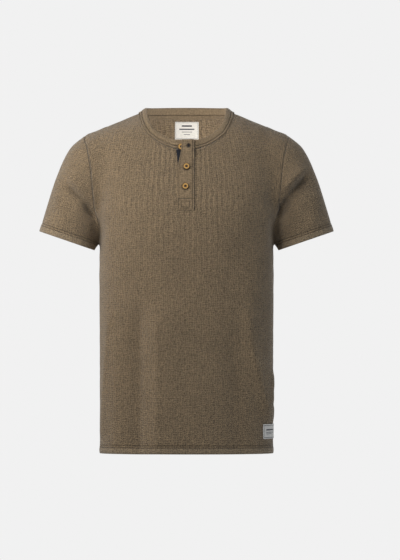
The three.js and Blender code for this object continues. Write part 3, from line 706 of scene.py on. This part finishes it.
def stripPlace(x, z):
    # a point on the placket strip and its normal; above the neck seam the strip follows the band
    x, z = np.broadcast_arrays(np.asarray(x, float), np.asarray(z, float))
    spot, normal = place(viewPoint(x, np.minimum(z, neckFoot), -1))
    up = bandDirection(np.stack([np.zeros(x.shape), spot[..., 1], np.full(x.shape, float(neckFoot))], -1))
    above = np.maximum(0, z - neckFoot)[..., None]
    square = unit(normal - up * (normal * up).sum(-1, keepdims=True))
    bent = smooth(0, 4, above)
    return spot + up * above / up[..., 2:], unit(normal * (1 - bent) + square * bent)


buttonTable = {"button_top": (-10.6, -70), "button_middle": (0.2, -111), "button_lower": (-2, -151.2)}

# Over placket: free edge, sewn edge and lift off the front at each height
over = {
    "flat": (0.0345, 0.145),
    "area": 0.005,
    "thickness": 1.0,
    "sink": 0.75,
    "sewnStitch": 12.6,
    "freeStitch": (2.8, 2.2),
    "boxLines": (-175.6, -196.6),
    "boxMiddle": (-1.7, -187.4),
    "boxHalf": (8.4, 6),
    "holeMiddle": (4.4, -68.6),
}
overTable = np.array([
    [-200, -17.8, 16.6, 1.9],
    [-142, -17.8, 16.6, 1.9],
    [-119, -17.6, 16.6, 2],
    [-107, -16.9, 16.6, 2.1],
    [-97, -15, 16.6, 2.8],
    [-85, -12.2, 16.6, 4.6],
    [-74, -10.6, 16.6, 5.4],
    [-64, -9.8, 16.4, 5.2],
    [-55, -9.2, 16.2, 4.6],
])
height = np.linspace(placketFoot, placketTop, 121)[:, None]
free, sewn, lift = (readTable(overTable, height)[..., k] for k in range(3))
share = np.concatenate([
    np.linspace(0, 0.06, 6)[:-1],
    np.linspace(0.06, 0.9, 40)[:-1],
    np.linspace(0.9, 1, 9),
])
x = free + (sewn - free) * share[None]
spot, normal = stripPlace(x, height)
out = lift - over["sink"] + np.zeros(x.shape)
fromFree, fromSewn = x - free, sewn - x
fromFoot, fromTop = height - placketFoot, height - placketTop

# Stitched grooves: both long edges, the lines across and the small box at the foot
(boxX, boxZ), (halfX, halfZ) = over["boxMiddle"], over["boxHalf"]
boxAway = np.maximum(np.abs(x - boxX) - halfX, np.abs(height - boxZ) - halfZ)
upper = smooth(-178.5, -176, height)
rowsUp = smooth(-197.5, -195.5, height)
stitched = [
    bell(x - over["sewnStitch"]) * rowsUp,
    0.6 * bell(fromFree - over["freeStitch"][0]) * upper,
    bell(height - over["boxLines"][0]) * (fromFree > 2),
    0.4 * bell(height - over["boxLines"][1]) * (fromFree > 1.4),
    bell(boxAway),
    bell(fromFree - over["freeStitch"][1]) * (1 - upper) * rowsUp,
]
stitching = np.max(np.stack(np.broadcast_arrays(*stitched)), 0)
relief = over["thickness"] - 0.9 * bell(fromFree, 0.7) - 0.75 * stitching
relief = relief - 0.9 * bell(fromTop, 0.8) + 0.25 * bell(fromSewn - 2.2, 1.1)
ripple = 0.25 * np.sin(height / 5.3) * bell(fromSewn, 6)
ripple = ripple + 0.5 * np.sin(height / 4.1 + x / 6) * smooth(-96, -70, height)
flat = np.maximum(smooth(0.955, 0.995, share)[None], 1 - smooth(0, 4, fromFoot))
low, high = out + 0.05, out + relief + ripple
low, high = low + (0.12 - low) * flat, high + (0.5 - high) * flat
shade = 0.95 * stitching + 0.8 * bell(fromSewn, 0.8) + 0.1 * bell(fromFoot, 0.9) + 0.35 * bell(fromFree, 0.9)

# Painted shade fills the buttonhole, a dark hollow, and a ring of painted shadow darkens the cloth close
# round each done-up button
holeX, holeZ = over["holeMiddle"]
hollow = np.hypot((x - holeX) / 5.4, (height - holeZ) / 5.8)
shade = np.maximum(shade, 1.15 * (1 - smooth(0.55, 1.15, hollow)))
for node in ("button_middle", "button_lower"):
    buttonX, buttonZ = buttonTable[node]
    reach = np.hypot(x - buttonX, height - buttonZ)
    shade = np.maximum(shade, 0.8 * (1 - smooth(6.6, 8.6, reach)))
high = high - 1.0 * (1 - smooth(0.2, 1.0, hollow))
uv = pairUp(x, height)
outer, inner = (spot + normal * level[..., None] for level in (high, low))
placketOver = makeMesh("placketOver", outer, inner, uv, shade=shade)

# Under placket, dark, showing beside the free edge
under = {"flat": (0.033, 0.118), "area": 0.0037, "rows": (-193, -75.4), "levels": (1, 0.35)}
underTable = np.array([
    [-200, -17, 12],
    [-112, -17, 12],
    [-97, -18.4, 12],
    [-85, -19.8, 12],
    [-75.4, -21, 12],
])
height = np.linspace(*under["rows"], 61)[:, None]
low, high = (readTable(underTable, height)[..., k] for k in range(2))
x = low + (high - low) * np.linspace(0, 1, 17)[None]
spot, normal = stripPlace(x, height)
uv = pairUp(x, height)
outer, inner = (spot + normal * level for level in under["levels"])
placketUnder = makeMesh("placketUnder", outer, inner, uv)


# Labels: a woven ground with a plain border and plain bars, set as faces of a second material
def makeLabel(name, facts, spot, normal):
    rows, columns = spot.shape[:2]
    width, height = facts["size"]
    uv = pairUp(np.linspace(0, width, columns)[None], np.linspace(0, height, rows)[:, None])
    offset = facts["offset"]
    behind = offset - math.copysign(0.5, offset)
    piece = makeMesh(name, spot + normal * offset, spot + normal * behind, uv)
    layer = piece.data.uv_layers[0].data
    for polygon in piece.data.polygons:
        x, y = np.mean([layer[k].uv for k in polygon.loop_indices], 0) * 1000
        edge = min(x, width - x, y, height - y)
        printed = facts["border"][0] < edge < facts["border"][1]
        for x0, x1, y0, y1 in facts["bars"]:
            printed = printed or (x0 < x < x1 and y0 < y < y1)
        polygon.material_index = int(printed)
    return piece


# Bars hold their two sides and then their foot and top, in millimetres from the label's corner
label = {
    "flat": (0.049, 0.0365),
    "area": 0.00178,
    "size": (49, 36),
    "offset": -2.1,
    "border": (1.6, 2.2),
    "bars": [(14, 35, 26, 29), (9, 40, 19.5, 22), (14, 35, 14.5, 15.5), (18, 31, 9.5, 10.5)],
}
x = np.linspace(-24, 25, 99)[None]
z = np.linspace(-50, -14.5, 73)[:, None]
spot, normal = place(viewPoint(x, z, 1))
curl = 0.5 * smooth(0.6, 1, np.abs(x - 0.5) / 24.5) + 0.2 * smooth(8, 0, z + 50)
neckLabel = makeLabel("neckLabel", label, spot - normal * curl[..., None], normal)

tab = {
    "flat": (0.0105, 0.01),
    "area": 0.00007,
    "size": (10.5, 6.5),
    "offset": -2.1,
    "border": (-2, -1),
    "bars": [(4, 6.5, 2.2, 4.3)],
}
x = np.linspace(-7.5, 3, 22)[None]
z = np.linspace(-57, -50.6, 14)[:, None]
sizeTab = makeLabel("sizeTab", tab, *place(viewPoint(x, z, 1)))

badge = {
    "flat": (0.062, 0.0305),
    "area": 0.00185,
    "size": (62, 30),
    "offset": 1.4,
    "border": (2, 2.8),
    "bars": [(8, 44, 17, 19.5), (8, 44, 12.5, 13.5), (8, 30, 9.5, 10.3)],
}
y = np.linspace(-62, -5, 115)[None]
z = np.linspace(-664, -634, 61)[:, None]
start = np.stack(np.broadcast_arrays(170.0, y, z), -1)
sideLabel = makeLabel("sideLabel", badge, *place(settle(settle(start, 1), 2)))
print("band, plackets and labels made")


# Sewing threads: one small capsule per stitch along a line
def stitchLine(spot, normal, pitch=3.3, gap=0.9):
    lengths = runLength(spot)
    starts = np.arange(0.4, lengths[-1] - pitch, pitch)
    start, end = (readLine(spot, lengths, starts + shift) for shift in (0, pitch - gap))
    return start, end, unit(readLine(normal, lengths, starts))


def makeStitches(name, lines, radius):
    start, end, up = (np.concatenate(part) for part in zip(*lines))
    way = unit(end - start)
    side = unit(np.cross(way, up))
    up = np.cross(side, way)
    quarter = (end - start) * 0.22
    rings = [start - up * radius * 0.4]
    for middle in (start + quarter, end - quarter):
        rings += [middle + up * radius, middle + side * radius]
        rings += [middle - up * radius * 0.5, middle - side * radius]
    rings.append(end - up * radius * 0.4)
    points = np.stack(rings, 1)
    faces = [(0, 1, 2), (0, 2, 3), (0, 3, 4), (0, 4, 1)]
    faces += [(9, 6, 5), (9, 7, 6), (9, 8, 7), (9, 5, 8)]
    faces += [(1, 5, 6, 2), (2, 6, 7, 3), (3, 7, 8, 4), (4, 8, 5, 1)]
    polygons = [[10 * k + n for n in face] for k in range(len(points)) for face in faces]
    return addPiece(name, points.reshape(-1, 3), polygons)


def rowStitches(grid, distance, at, rise):
    # stitches on a grid at one distance up from its low or down from its high edge
    points, up = (readRow(source, distance, at) for source in place(grid))
    up = unit(up)
    return stitchLine(points + up * rise, up)


hemLines = []
for grid in (frontGrid, backGrid, closed(leftGrid), closed(rightGrid)):
    low = away(grid)[2]
    hemLines += [rowStitches(grid, low, at, 0.35) for at in hemStitches]
hemThreads = makeStitches("hemThreads", hemLines, 0.32)

neckLines = []
for half, columns in ((frontHalf, neckCount), (backHalf, backNeckCount)):
    part = (slice(None, None, -1), slice(columns * fine + 1))
    down = away(half)[3][part]
    neckLines += [rowStitches(grid, down, topstitchDepth, 0.1) for grid in (half[part], mirror(half[part]))]
neckLines.append(stitchLine(bandLine + bandUp * 5.3 + bandOut * 0.4, bandOut))
neckThreads = makeStitches("neckThreads", neckLines, 0.28)


def placketLine(x0, z0, x1, z1):
    share = np.linspace(0, 1, 40)
    x, z = x0 + (x1 - x0) * share, z0 + (z1 - z0) * share
    spot, normal = stripPlace(x, z)
    rise = readTable(overTable, z)[:, 2] - over["sink"] + over["thickness"] - 0.45
    return stitchLine(spot + normal * rise[:, None], normal, 2.6, 0.7)


placketEnds = [
    (12.3, -196, 12.3, -58), (-15.2, -174, -15.2, -112),
    (-15.2, -174, 12.3, -174), (-16.6, -196.2, 12.3, -196.2),
    (-10.2, -193.1, 7, -193.1), (-10.2, -181.5, 7, -181.5),
    (-10.2, -193.1, -10.2, -181.5), (7, -193.1, 7, -181.5),
]
placketThreads = makeStitches("placketThreads", [placketLine(*ends) for ends in placketEnds], 0.26)

# Buttonhole near the top of the over placket: a slit with a rim of close stitches
holeX, holeZ = 4.5, -69.0
holeSpot, holeNormal = stripPlace(holeX, holeZ)
holeLift = float(readTable(overTable, np.array(holeZ))[2]) - over["sink"] + over["thickness"] - 0.6
holeSpot = holeSpot + holeNormal * holeLift
upright = unit(np.cross(holeNormal, np.cross([0, 0, 1], holeNormal)))
across = unit(np.cross(upright, holeNormal))
angle = np.linspace(0, 2 * math.pi, 33)[:-1]


def oval(halfWidth, halfHeight):
    return np.stack([halfWidth * np.sin(angle), halfHeight * np.cos(angle)], -1)


def onHole(flat, rise):
    return holeSpot + across * flat[:, :1] + upright * flat[:, 1:] + holeNormal * rise


reach = unit(oval(1.0, 0.6)) * 0.9
start, end = onHole(oval(1.5, 5) - reach, 0.1), onHole(oval(1.5, 5) + reach, 0.1)
holeUp = np.broadcast_to(holeNormal, start.shape)
holeThreads = makeStitches("buttonholeThreads", [(start, end, holeUp)], 0.34)
slitPoints = onHole(oval(0.9, 4.6), 0.06)
buttonholeSlit = addPiece("buttonholeSlit", slitPoints, [list(range(len(angle)))], 0)

# Threads through the four holes of each button
button = {"thickness": 2.3, "holeAcross": 1.4, "holeUp": 1.7}
threadLines, buttonCentres = [], {}
for node, (x, z) in buttonTable.items():
    spot, normal = stripPlace(float(x), float(z))
    low, high = (np.array(corner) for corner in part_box(node))
    centre = (low + high) / 2 * 1000
    buttonCentres[node] = centre / 1000
    face = centre + normal * (button["thickness"] / 2 + 0.05)
    side = unit(np.cross(normal, [0, 0, 1]))
    rise = np.cross(side, normal)
    for turn in (-1, 1):
        middle = face + side * button["holeAcross"] * turn
        a, b = middle + rise * button["holeUp"], middle - rise * button["holeUp"]
        threadLines.append((a[None], b[None], normal[None]))
buttonThreads = makeStitches("buttonThreads", threadLines, 0.5)
print("threads made")


# Materials
class Nodes:
    # a short way to add and join the nodes of one tree
    def __init__(self, tree):
        self.tree = tree

    def add(self, kind, values=None, **settings):
        node = self.tree.nodes.new(kind)
        for name, value in settings.items():
            setattr(node, name, value)
        self.fill(node, values or {})
        return node

    def fill(self, node, values):
        for name, value in values.items():
            socket = node.inputs[name]
            if isinstance(value, bpy.types.NodeSocket):
                self.tree.links.new(value, socket)
            else:
                socket.default_value = value

    def math(self, operation, first, second=0.0, third=None):
        values = {0: first, 1: second}
        if third is not None:
            values[2] = third
        return self.add("ShaderNodeMath", values, operation=operation).outputs[0]

    def times(self, first, second, plus=None):
        return self.math("MULTIPLY" if plus is None else "MULTIPLY_ADD", first, second, plus)

    def vector(self, operation, first, second):
        values = {0: first, ("Scale" if operation == "SCALE" else 1): second}
        return self.add("ShaderNodeVectorMath", values, operation=operation).outputs[0]

    def noise(self, place, scale, detail, **more):
        values = {"Vector": place, "Scale": scale, "Detail": detail, **more}
        return self.add("ShaderNodeTexNoise", values).outputs

    def ramp(self, value, low, high):
        values = {"Value": value, "From Min": low, "From Max": high}
        return self.add("ShaderNodeMapRange", values).outputs[0]

    def mix(self, share, first, second):
        node = self.add("ShaderNodeMix", {0: share, 6: first, 7: second}, data_type="RGBA")
        return node.outputs[2]


def newGroup(name, **inputs):
    # the inputs are given by kind; every group gives a colour and a height
    tree = bpy.data.node_groups.new(name, "ShaderNodeTree")
    for kind, labels in inputs.items():
        for label in labels:
            tree.interface.new_socket(name=label, in_out="INPUT", socket_type="NodeSocket" + kind)
    tree.interface.new_socket(name="Color", in_out="OUTPUT", socket_type="NodeSocketColor")
    tree.interface.new_socket(name="Height", in_out="OUTPUT", socket_type="NodeSocketFloat")
    return Nodes(tree), tree.nodes.new("NodeGroupInput").outputs, tree.nodes.new("NodeGroupOutput")


# Waffle knit in cloth coordinates: raised lines round square pits, a little uneven, in heathered yarn.
# Seams, hem stitching and topstitching are drawn as painted shade, read from the distances to the edges of
# the piece.
n, given, result = newGroup(
    "waffleKnit",
    Vector=("Cloth", "Edges"),
    Color=("Light", "Dark"),
    Float=("Shade", "Cell", "Depth", "Topstitch", "Hem"),
)
waffle = n.tree
cloth, cell = given["Cloth"], given["Cell"]
warped = cloth
for scale, detail, strength in ((38.0, 2.0, 0.012), (150.0, 1.0, 0.006)):
    drift = n.vector("SUBTRACT", n.noise(cloth, scale, detail)["Color"], (0.5, 0.5, 0.5))
    warped = n.vector("ADD", warped, n.vector("SCALE", drift, strength))
parts = n.add("ShaderNodeSeparateXYZ", {0: warped}).outputs
plain = n.add("ShaderNodeSeparateXYZ", {0: cloth}).outputs
rims = n.add("ShaderNodeSeparateXYZ", {0: given["Edges"]}).outputs
waves, cells = [], []
for axis, stretch in (("X", 1.0), ("Y", 0.86)):
    turn = n.math("DIVIDE", parts[axis], n.times(cell, stretch))
    waves.append(n.math("ABSOLUTE", n.math("SINE", n.times(turn, math.pi))))
    cells.append(n.math("FLOOR", turn))
pit = n.math("POWER", n.times(waves[0], waves[1]), 0.8)
ridges = n.math("SUBTRACT", 1.0, pit)
cellPlace = n.add("ShaderNodeCombineXYZ", {0: cells[0], 1: cells[1]}).outputs[0]
uneven = n.add("ShaderNodeTexWhiteNoise", {"Vector": cellPlace}, noise_dimensions="2D").outputs["Value"]
streak = n.vector("MULTIPLY", cloth, (0.45, 1, 1))
fibre = n.noise(cloth, 1500.0, 3.0)["Fac"]
heather = n.noise(streak, 420.0, 3.0, Roughness=0.75)["Fac"]
cloud = n.noise(cloth, 22.0, 3.0)["Fac"]


def lineAt(distance, centre, width):
    away = n.math("DIVIDE", n.math("SUBTRACT", distance, centre), width)
    return n.math("EXPONENT", n.times(n.times(away, away), -1.0))


def moved(tone, value, middle, strength):
    # the tone moved by how far a value lies from its middle
    return n.times(n.math("SUBTRACT", value, middle), strength, tone)


seam = n.math("MAXIMUM", lineAt(rims["X"], 0.0, 0.001), lineAt(rims["Y"], 0.0, 0.001))
stitch = lineAt(rims["Y"], topstitchDepth / 1000, 0.0007)
stitch = n.times(stitch, given["Topstitch"])
hemPair = [lineAt(plain["Y"], at / 1000, 0.0008) for at in hemStitches]
hemShade = n.times(n.math("MAXIMUM", *hemPair), given["Hem"])
shade = n.times(stitch, 0.5, n.times(seam, 0.42))
shade = n.times(hemShade, 0.7, shade)
shade = n.add("ShaderNodeClamp", {0: n.math("ADD", shade, given["Shade"])}).outputs[0]
height = n.times(fibre, 0.35, ridges)
height = n.times(heather, 1.2, height)
height = n.times(shade, -1.2, height)

# Wavy columns of the knit show on the chest only
chest = n.times(lineAt(plain["X"], 0.0, 0.11), n.ramp(plain["Y"], 0.4, 0.52))
wide = n.math("DIVIDE", parts["X"], n.times(cell, 2.3))
column = n.math("SINE", n.times(wide, 2 * math.pi))
column = n.times(column, n.times(chest, 1.0, 0.15))
tone = moved(0.56, heather, 0.5, 2.1)
# painted shade: the pits of the waffle are made darker than its raised lines
tone = moved(tone, ridges, 0.5, given["Depth"])
tone = moved(tone, uneven, 0.5, 0.25)
tone = moved(tone, cloud, 0.5, 0.25)
column = n.times(column, n.math("SUBTRACT", cloud, 0.3))
tone = n.times(column, 0.9, tone)
tone = n.add("ShaderNodeClamp", {0: tone}).outputs[0]
color = n.mix(tone, given["Dark"], given["Light"])
# Painted highlight: the turned hem below its stitching is painted lighter and warmer, where its rolled
# double cloth faces up into the light
turned = n.times(n.ramp(plain["Y"], 0.0118, 0.0108), given["Hem"])
color = n.mix(turned, color, n.mix(0.06, color, (1, 0.86, 0.66, 1)))
color = n.mix(shade, color, n.mix(0.75, color, (0, 0, 0, 1)))
n.fill(result, {"Color": color, "Height": height})


def sRGB(*values):
    channels = [v / 255 for v in values]
    low = 10 / 255
    return tuple(c / 12.92 if c <= low else ((c + 0.055) / 1.055) ** 2.4 for c in channels) + (1.0,)


def newMaterial(name, roughness):
    material = bpy.data.materials.new(name)
    material.use_nodes = True
    shader = material.node_tree.nodes["Principled BSDF"]
    shader.inputs["Roughness"].default_value = roughness
    return material, Nodes(material.node_tree), shader


def joinUp(n, shader, color, height, strength, distance):
    relief = n.add("ShaderNodeBump", {"Strength": strength, "Distance": distance, "Height": height})
    n.fill(shader, {"Base Color": color, "Normal": relief.outputs["Normal"]})


def knitMaterial(name, light, dark, cell, depth, bump, sheen=0.25, edged=False, topstitch=0.0):
    material, n, shader = newMaterial(name, 0.92)
    shader.inputs["Sheen Weight"].default_value = sheen
    shader.inputs["Sheen Roughness"].default_value = 0.6
    shader.inputs["Specular IOR Level"].default_value = 0.2
    values = {
        "Cloth": n.add("ShaderNodeUVMap", uv_map="cloth").outputs["UV"],
        "Edges": n.add("ShaderNodeUVMap", uv_map="edges").outputs["UV"] if edged else (1, 1, 1),
        "Shade": n.add("ShaderNodeAttribute", attribute_name="shade").outputs["Fac"],
        "Light": light,
        "Dark": dark,
        "Cell": cell,
        "Depth": depth,
        "Topstitch": topstitch,
        "Hem": float(edged),
    }
    group = n.add("ShaderNodeGroup", node_tree=waffle)
    n.fill(group, values)
    joinUp(n, shader, group.outputs["Color"], group.outputs["Height"], 0.9, bump)
    return material


def plainMaterial(name, color, roughness):
    # thread and floor: a fine noise keeps them from looking flat
    material, n, shader = newMaterial(name, roughness)
    noise = n.noise(n.add("ShaderNodeTexCoord").outputs["Object"], 900.0, 2.0)["Fac"]
    dark = tuple(0.8 * c for c in color[:3]) + (1,)
    joinUp(n, shader, n.mix(noise, dark, color), noise, 0.4, 0.0002)
    return material


yarnLight, yarnDark = sRGB(152, 131, 102), sRGB(92, 78, 60)
knit = knitMaterial("waffleKnit", yarnLight, yarnDark, 0.0048, 0.6, 0.0012, edged=True, topstitch=1.0)
sleeveKnit = knitMaterial("sleeveKnit", yarnLight, yarnDark, 0.0048, 0.6, 0.0012, edged=True)
stripKnit = knitMaterial("stripKnit", yarnLight, yarnDark, 0.0048, 0.35, 0.0006)
bandKnit = knitMaterial("bandKnit", sRGB(150, 130, 102), sRGB(102, 87, 67), 0.0028, 0.25, 0.0003)
tapeKnit = knitMaterial("tapeKnit", sRGB(140, 121, 95), sRGB(96, 82, 62), 0.002, 0.3, 0.0003)
navyCloth = knitMaterial("navyFacing", sRGB(24, 28, 42), sRGB(9, 11, 19), 0.0014, 0.3, 0.0002)
labelCloth = knitMaterial("labelWeave", sRGB(240, 238, 233), sRGB(214, 211, 205), 0.0009, 0.3, 0.0001, 0.1)
labelPrint = knitMaterial("labelBars", sRGB(70, 72, 80), sRGB(40, 42, 50), 0.0009, 0.3, 0.0001, 0.1)
thread = plainMaterial("thread", sRGB(132, 114, 88), 0.8)
darkThread = plainMaterial("darkThread", sRGB(52, 44, 42), 0.8)

# Buttons: wood in rings, with a dark middle, a pale ring and a darker rim
n, given, result = newGroup("ringWood", Vector=("Place", "Centre"))
ringWood = n.tree
spot, centre = given["Place"], given["Centre"]
radius = n.add("ShaderNodeVectorMath", {0: spot, 1: centre}, operation="DISTANCE").outputs["Value"]
grain = n.noise(spot, 700.0, 4.0, Distortion=1.5)["Fac"]
wood = n.mix(grain, sRGB(166, 122, 62), sRGB(214, 174, 106))
color = n.mix(n.ramp(radius, 0.0027, 0.0032), sRGB(74, 54, 40), wood)
color = n.mix(n.ramp(radius, 0.0056, 0.0061), color, sRGB(78, 52, 30))
n.fill(result, {"Color": color, "Height": grain})
for node, centre in buttonCentres.items():
    material, n, shader = newMaterial(node + "Wood", 0.4)
    group = n.add("ShaderNodeGroup", node_tree=ringWood)
    n.fill(group, {"Place": n.add("ShaderNodeTexCoord").outputs["Object"], "Centre": centre.tolist()})
    joinUp(n, shader, group.outputs["Color"], group.outputs["Height"], 0.3, 0.0001)
    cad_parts[node].data.materials.clear()
    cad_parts[node].data.materials.append(material)

for piece, node, slot, facts, *materials in (
    (frontCloth, "front", "knit", front, knit),
    (backCloth, "back", "knit", back, knit),
    (sleeveLeft, "sleeve_left", "knit", sleeve, sleeveKnit),
    (sleeveRight, "sleeve_right", "knit", sleeve, sleeveKnit),
    (neckBand, "neckband", "rib", band, bandKnit),
    (neckTape, "neck_tape", "tape", tape, tapeKnit),
    (placketOver, "placket_over", "knit", over, stripKnit),
    (placketUnder, "placket_under", "navy", under, navyCloth),
    (neckLabel, "neck_label", "label", label, labelCloth, labelPrint),
    (sizeTab, "size_tab", "label", tab, labelCloth, labelPrint),
    (sideLabel, "side_label", "label", badge, labelCloth, labelPrint),
    (hemThreads, None, "knit", None, thread),
    (neckThreads, None, "rib", None, thread),
    (placketThreads, None, "knit", None, thread),
    (holeThreads, None, "knit", None, darkThread),
    (buttonholeSlit, None, "navy", None, navyCloth),
    (buttonThreads, None, "navy", None, darkThread),
):
    for material in materials:
        piece.data.materials.append(material)
    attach(piece, "root")
    if facts:
        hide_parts(node)
print("materials made")

# Light, floor and camera
bpy.context.scene.view_settings.view_transform = "Standard"
world = bpy.data.worlds.new("studio")
bpy.context.scene.world = world
world.use_nodes = True
n = Nodes(world.node_tree)
seen = world.node_tree.nodes["Background"]
seen.inputs["Color"].default_value = sRGB(241, 241, 241)
soft = n.add("ShaderNodeBackground", {"Color": (0.9, 0.93, 1, 1), "Strength": 0.08})
ray = n.add("ShaderNodeLightPath")
values = {0: ray.outputs["Is Camera Ray"], 1: soft.outputs[0], 2: seen.outputs[0]}
choice = n.add("ShaderNodeMixShader", values)
n.fill(world.node_tree.nodes["World Output"], {"Surface": choice.outputs[0]})

floorHeight = -1.45
aim = (0, 0, -0.25)
warm, cream, cool, white = (1, 0.97, 0.93), (1, 0.98, 0.95), (0.88, 0.94, 1), (1, 1, 1)
for name, position, target, size, power, color in (
    ("key", (-0.55, -0.72, 0.2), aim, 0.4, 4.6, (1, 0.96, 0.9)),
    ("side", (-1.2, -0.6, -0.1), aim, 0.3, 6.2, warm),
    ("fill", (1.8, -1.2, 0.3), aim, 1.0, 11.4, cool),
    ("top", (0, -0.6, 1.2), aim, 0.6, 4.6, warm),
    ("behind", (0.9, 2.4, 0.5), (0, 0, -0.3), 1.4, 36, cream),
    ("behindLeft", (-1.4, 1.6, 0.1), (0, 0, -0.3), 0.8, 9, cream),
    ("floorGlow", (0, 0.3, -0.8), (0, 0.3, floorHeight), 2.6, 5.5, white),
    ("inside", (0, -0.02, -0.18), (0, 0.06, -0.03), 0.14, 0.35, cream),
):
    light = bpy.data.lights.new(name, "AREA")
    light.size = size
    light.energy = power
    light.color = color
    lamp = addObject(name, light)
    lamp.location = position
    lamp.rotation_euler = (Vector(target) - Vector(position)).to_track_quat("-Z", "Y").to_euler()
    lamp.visible_camera = False

bpy.ops.mesh.primitive_plane_add(size=5, location=(0, 0, floorHeight))
floor = bpy.context.object
floor.name = "studioFloor"
floor.data.materials.append(plainMaterial("paleFloor", sRGB(236, 236, 236), 0.9))

sensorHeight, cameraDistance, pictureHeight = 36, 12, 1.1458
cameraData = bpy.data.cameras.new("camera")
cameraData.sensor_fit = "VERTICAL"
cameraData.sensor_height = sensorHeight
cameraData.lens = sensorHeight * cameraDistance / pictureHeight
camera = addObject("camera", cameraData)
camera.location = (0.0276, -cameraDistance, -0.3406)
camera.rotation_euler = (math.pi / 2, 0, 0)
bpy.context.scene.camera = camera
saveSize()
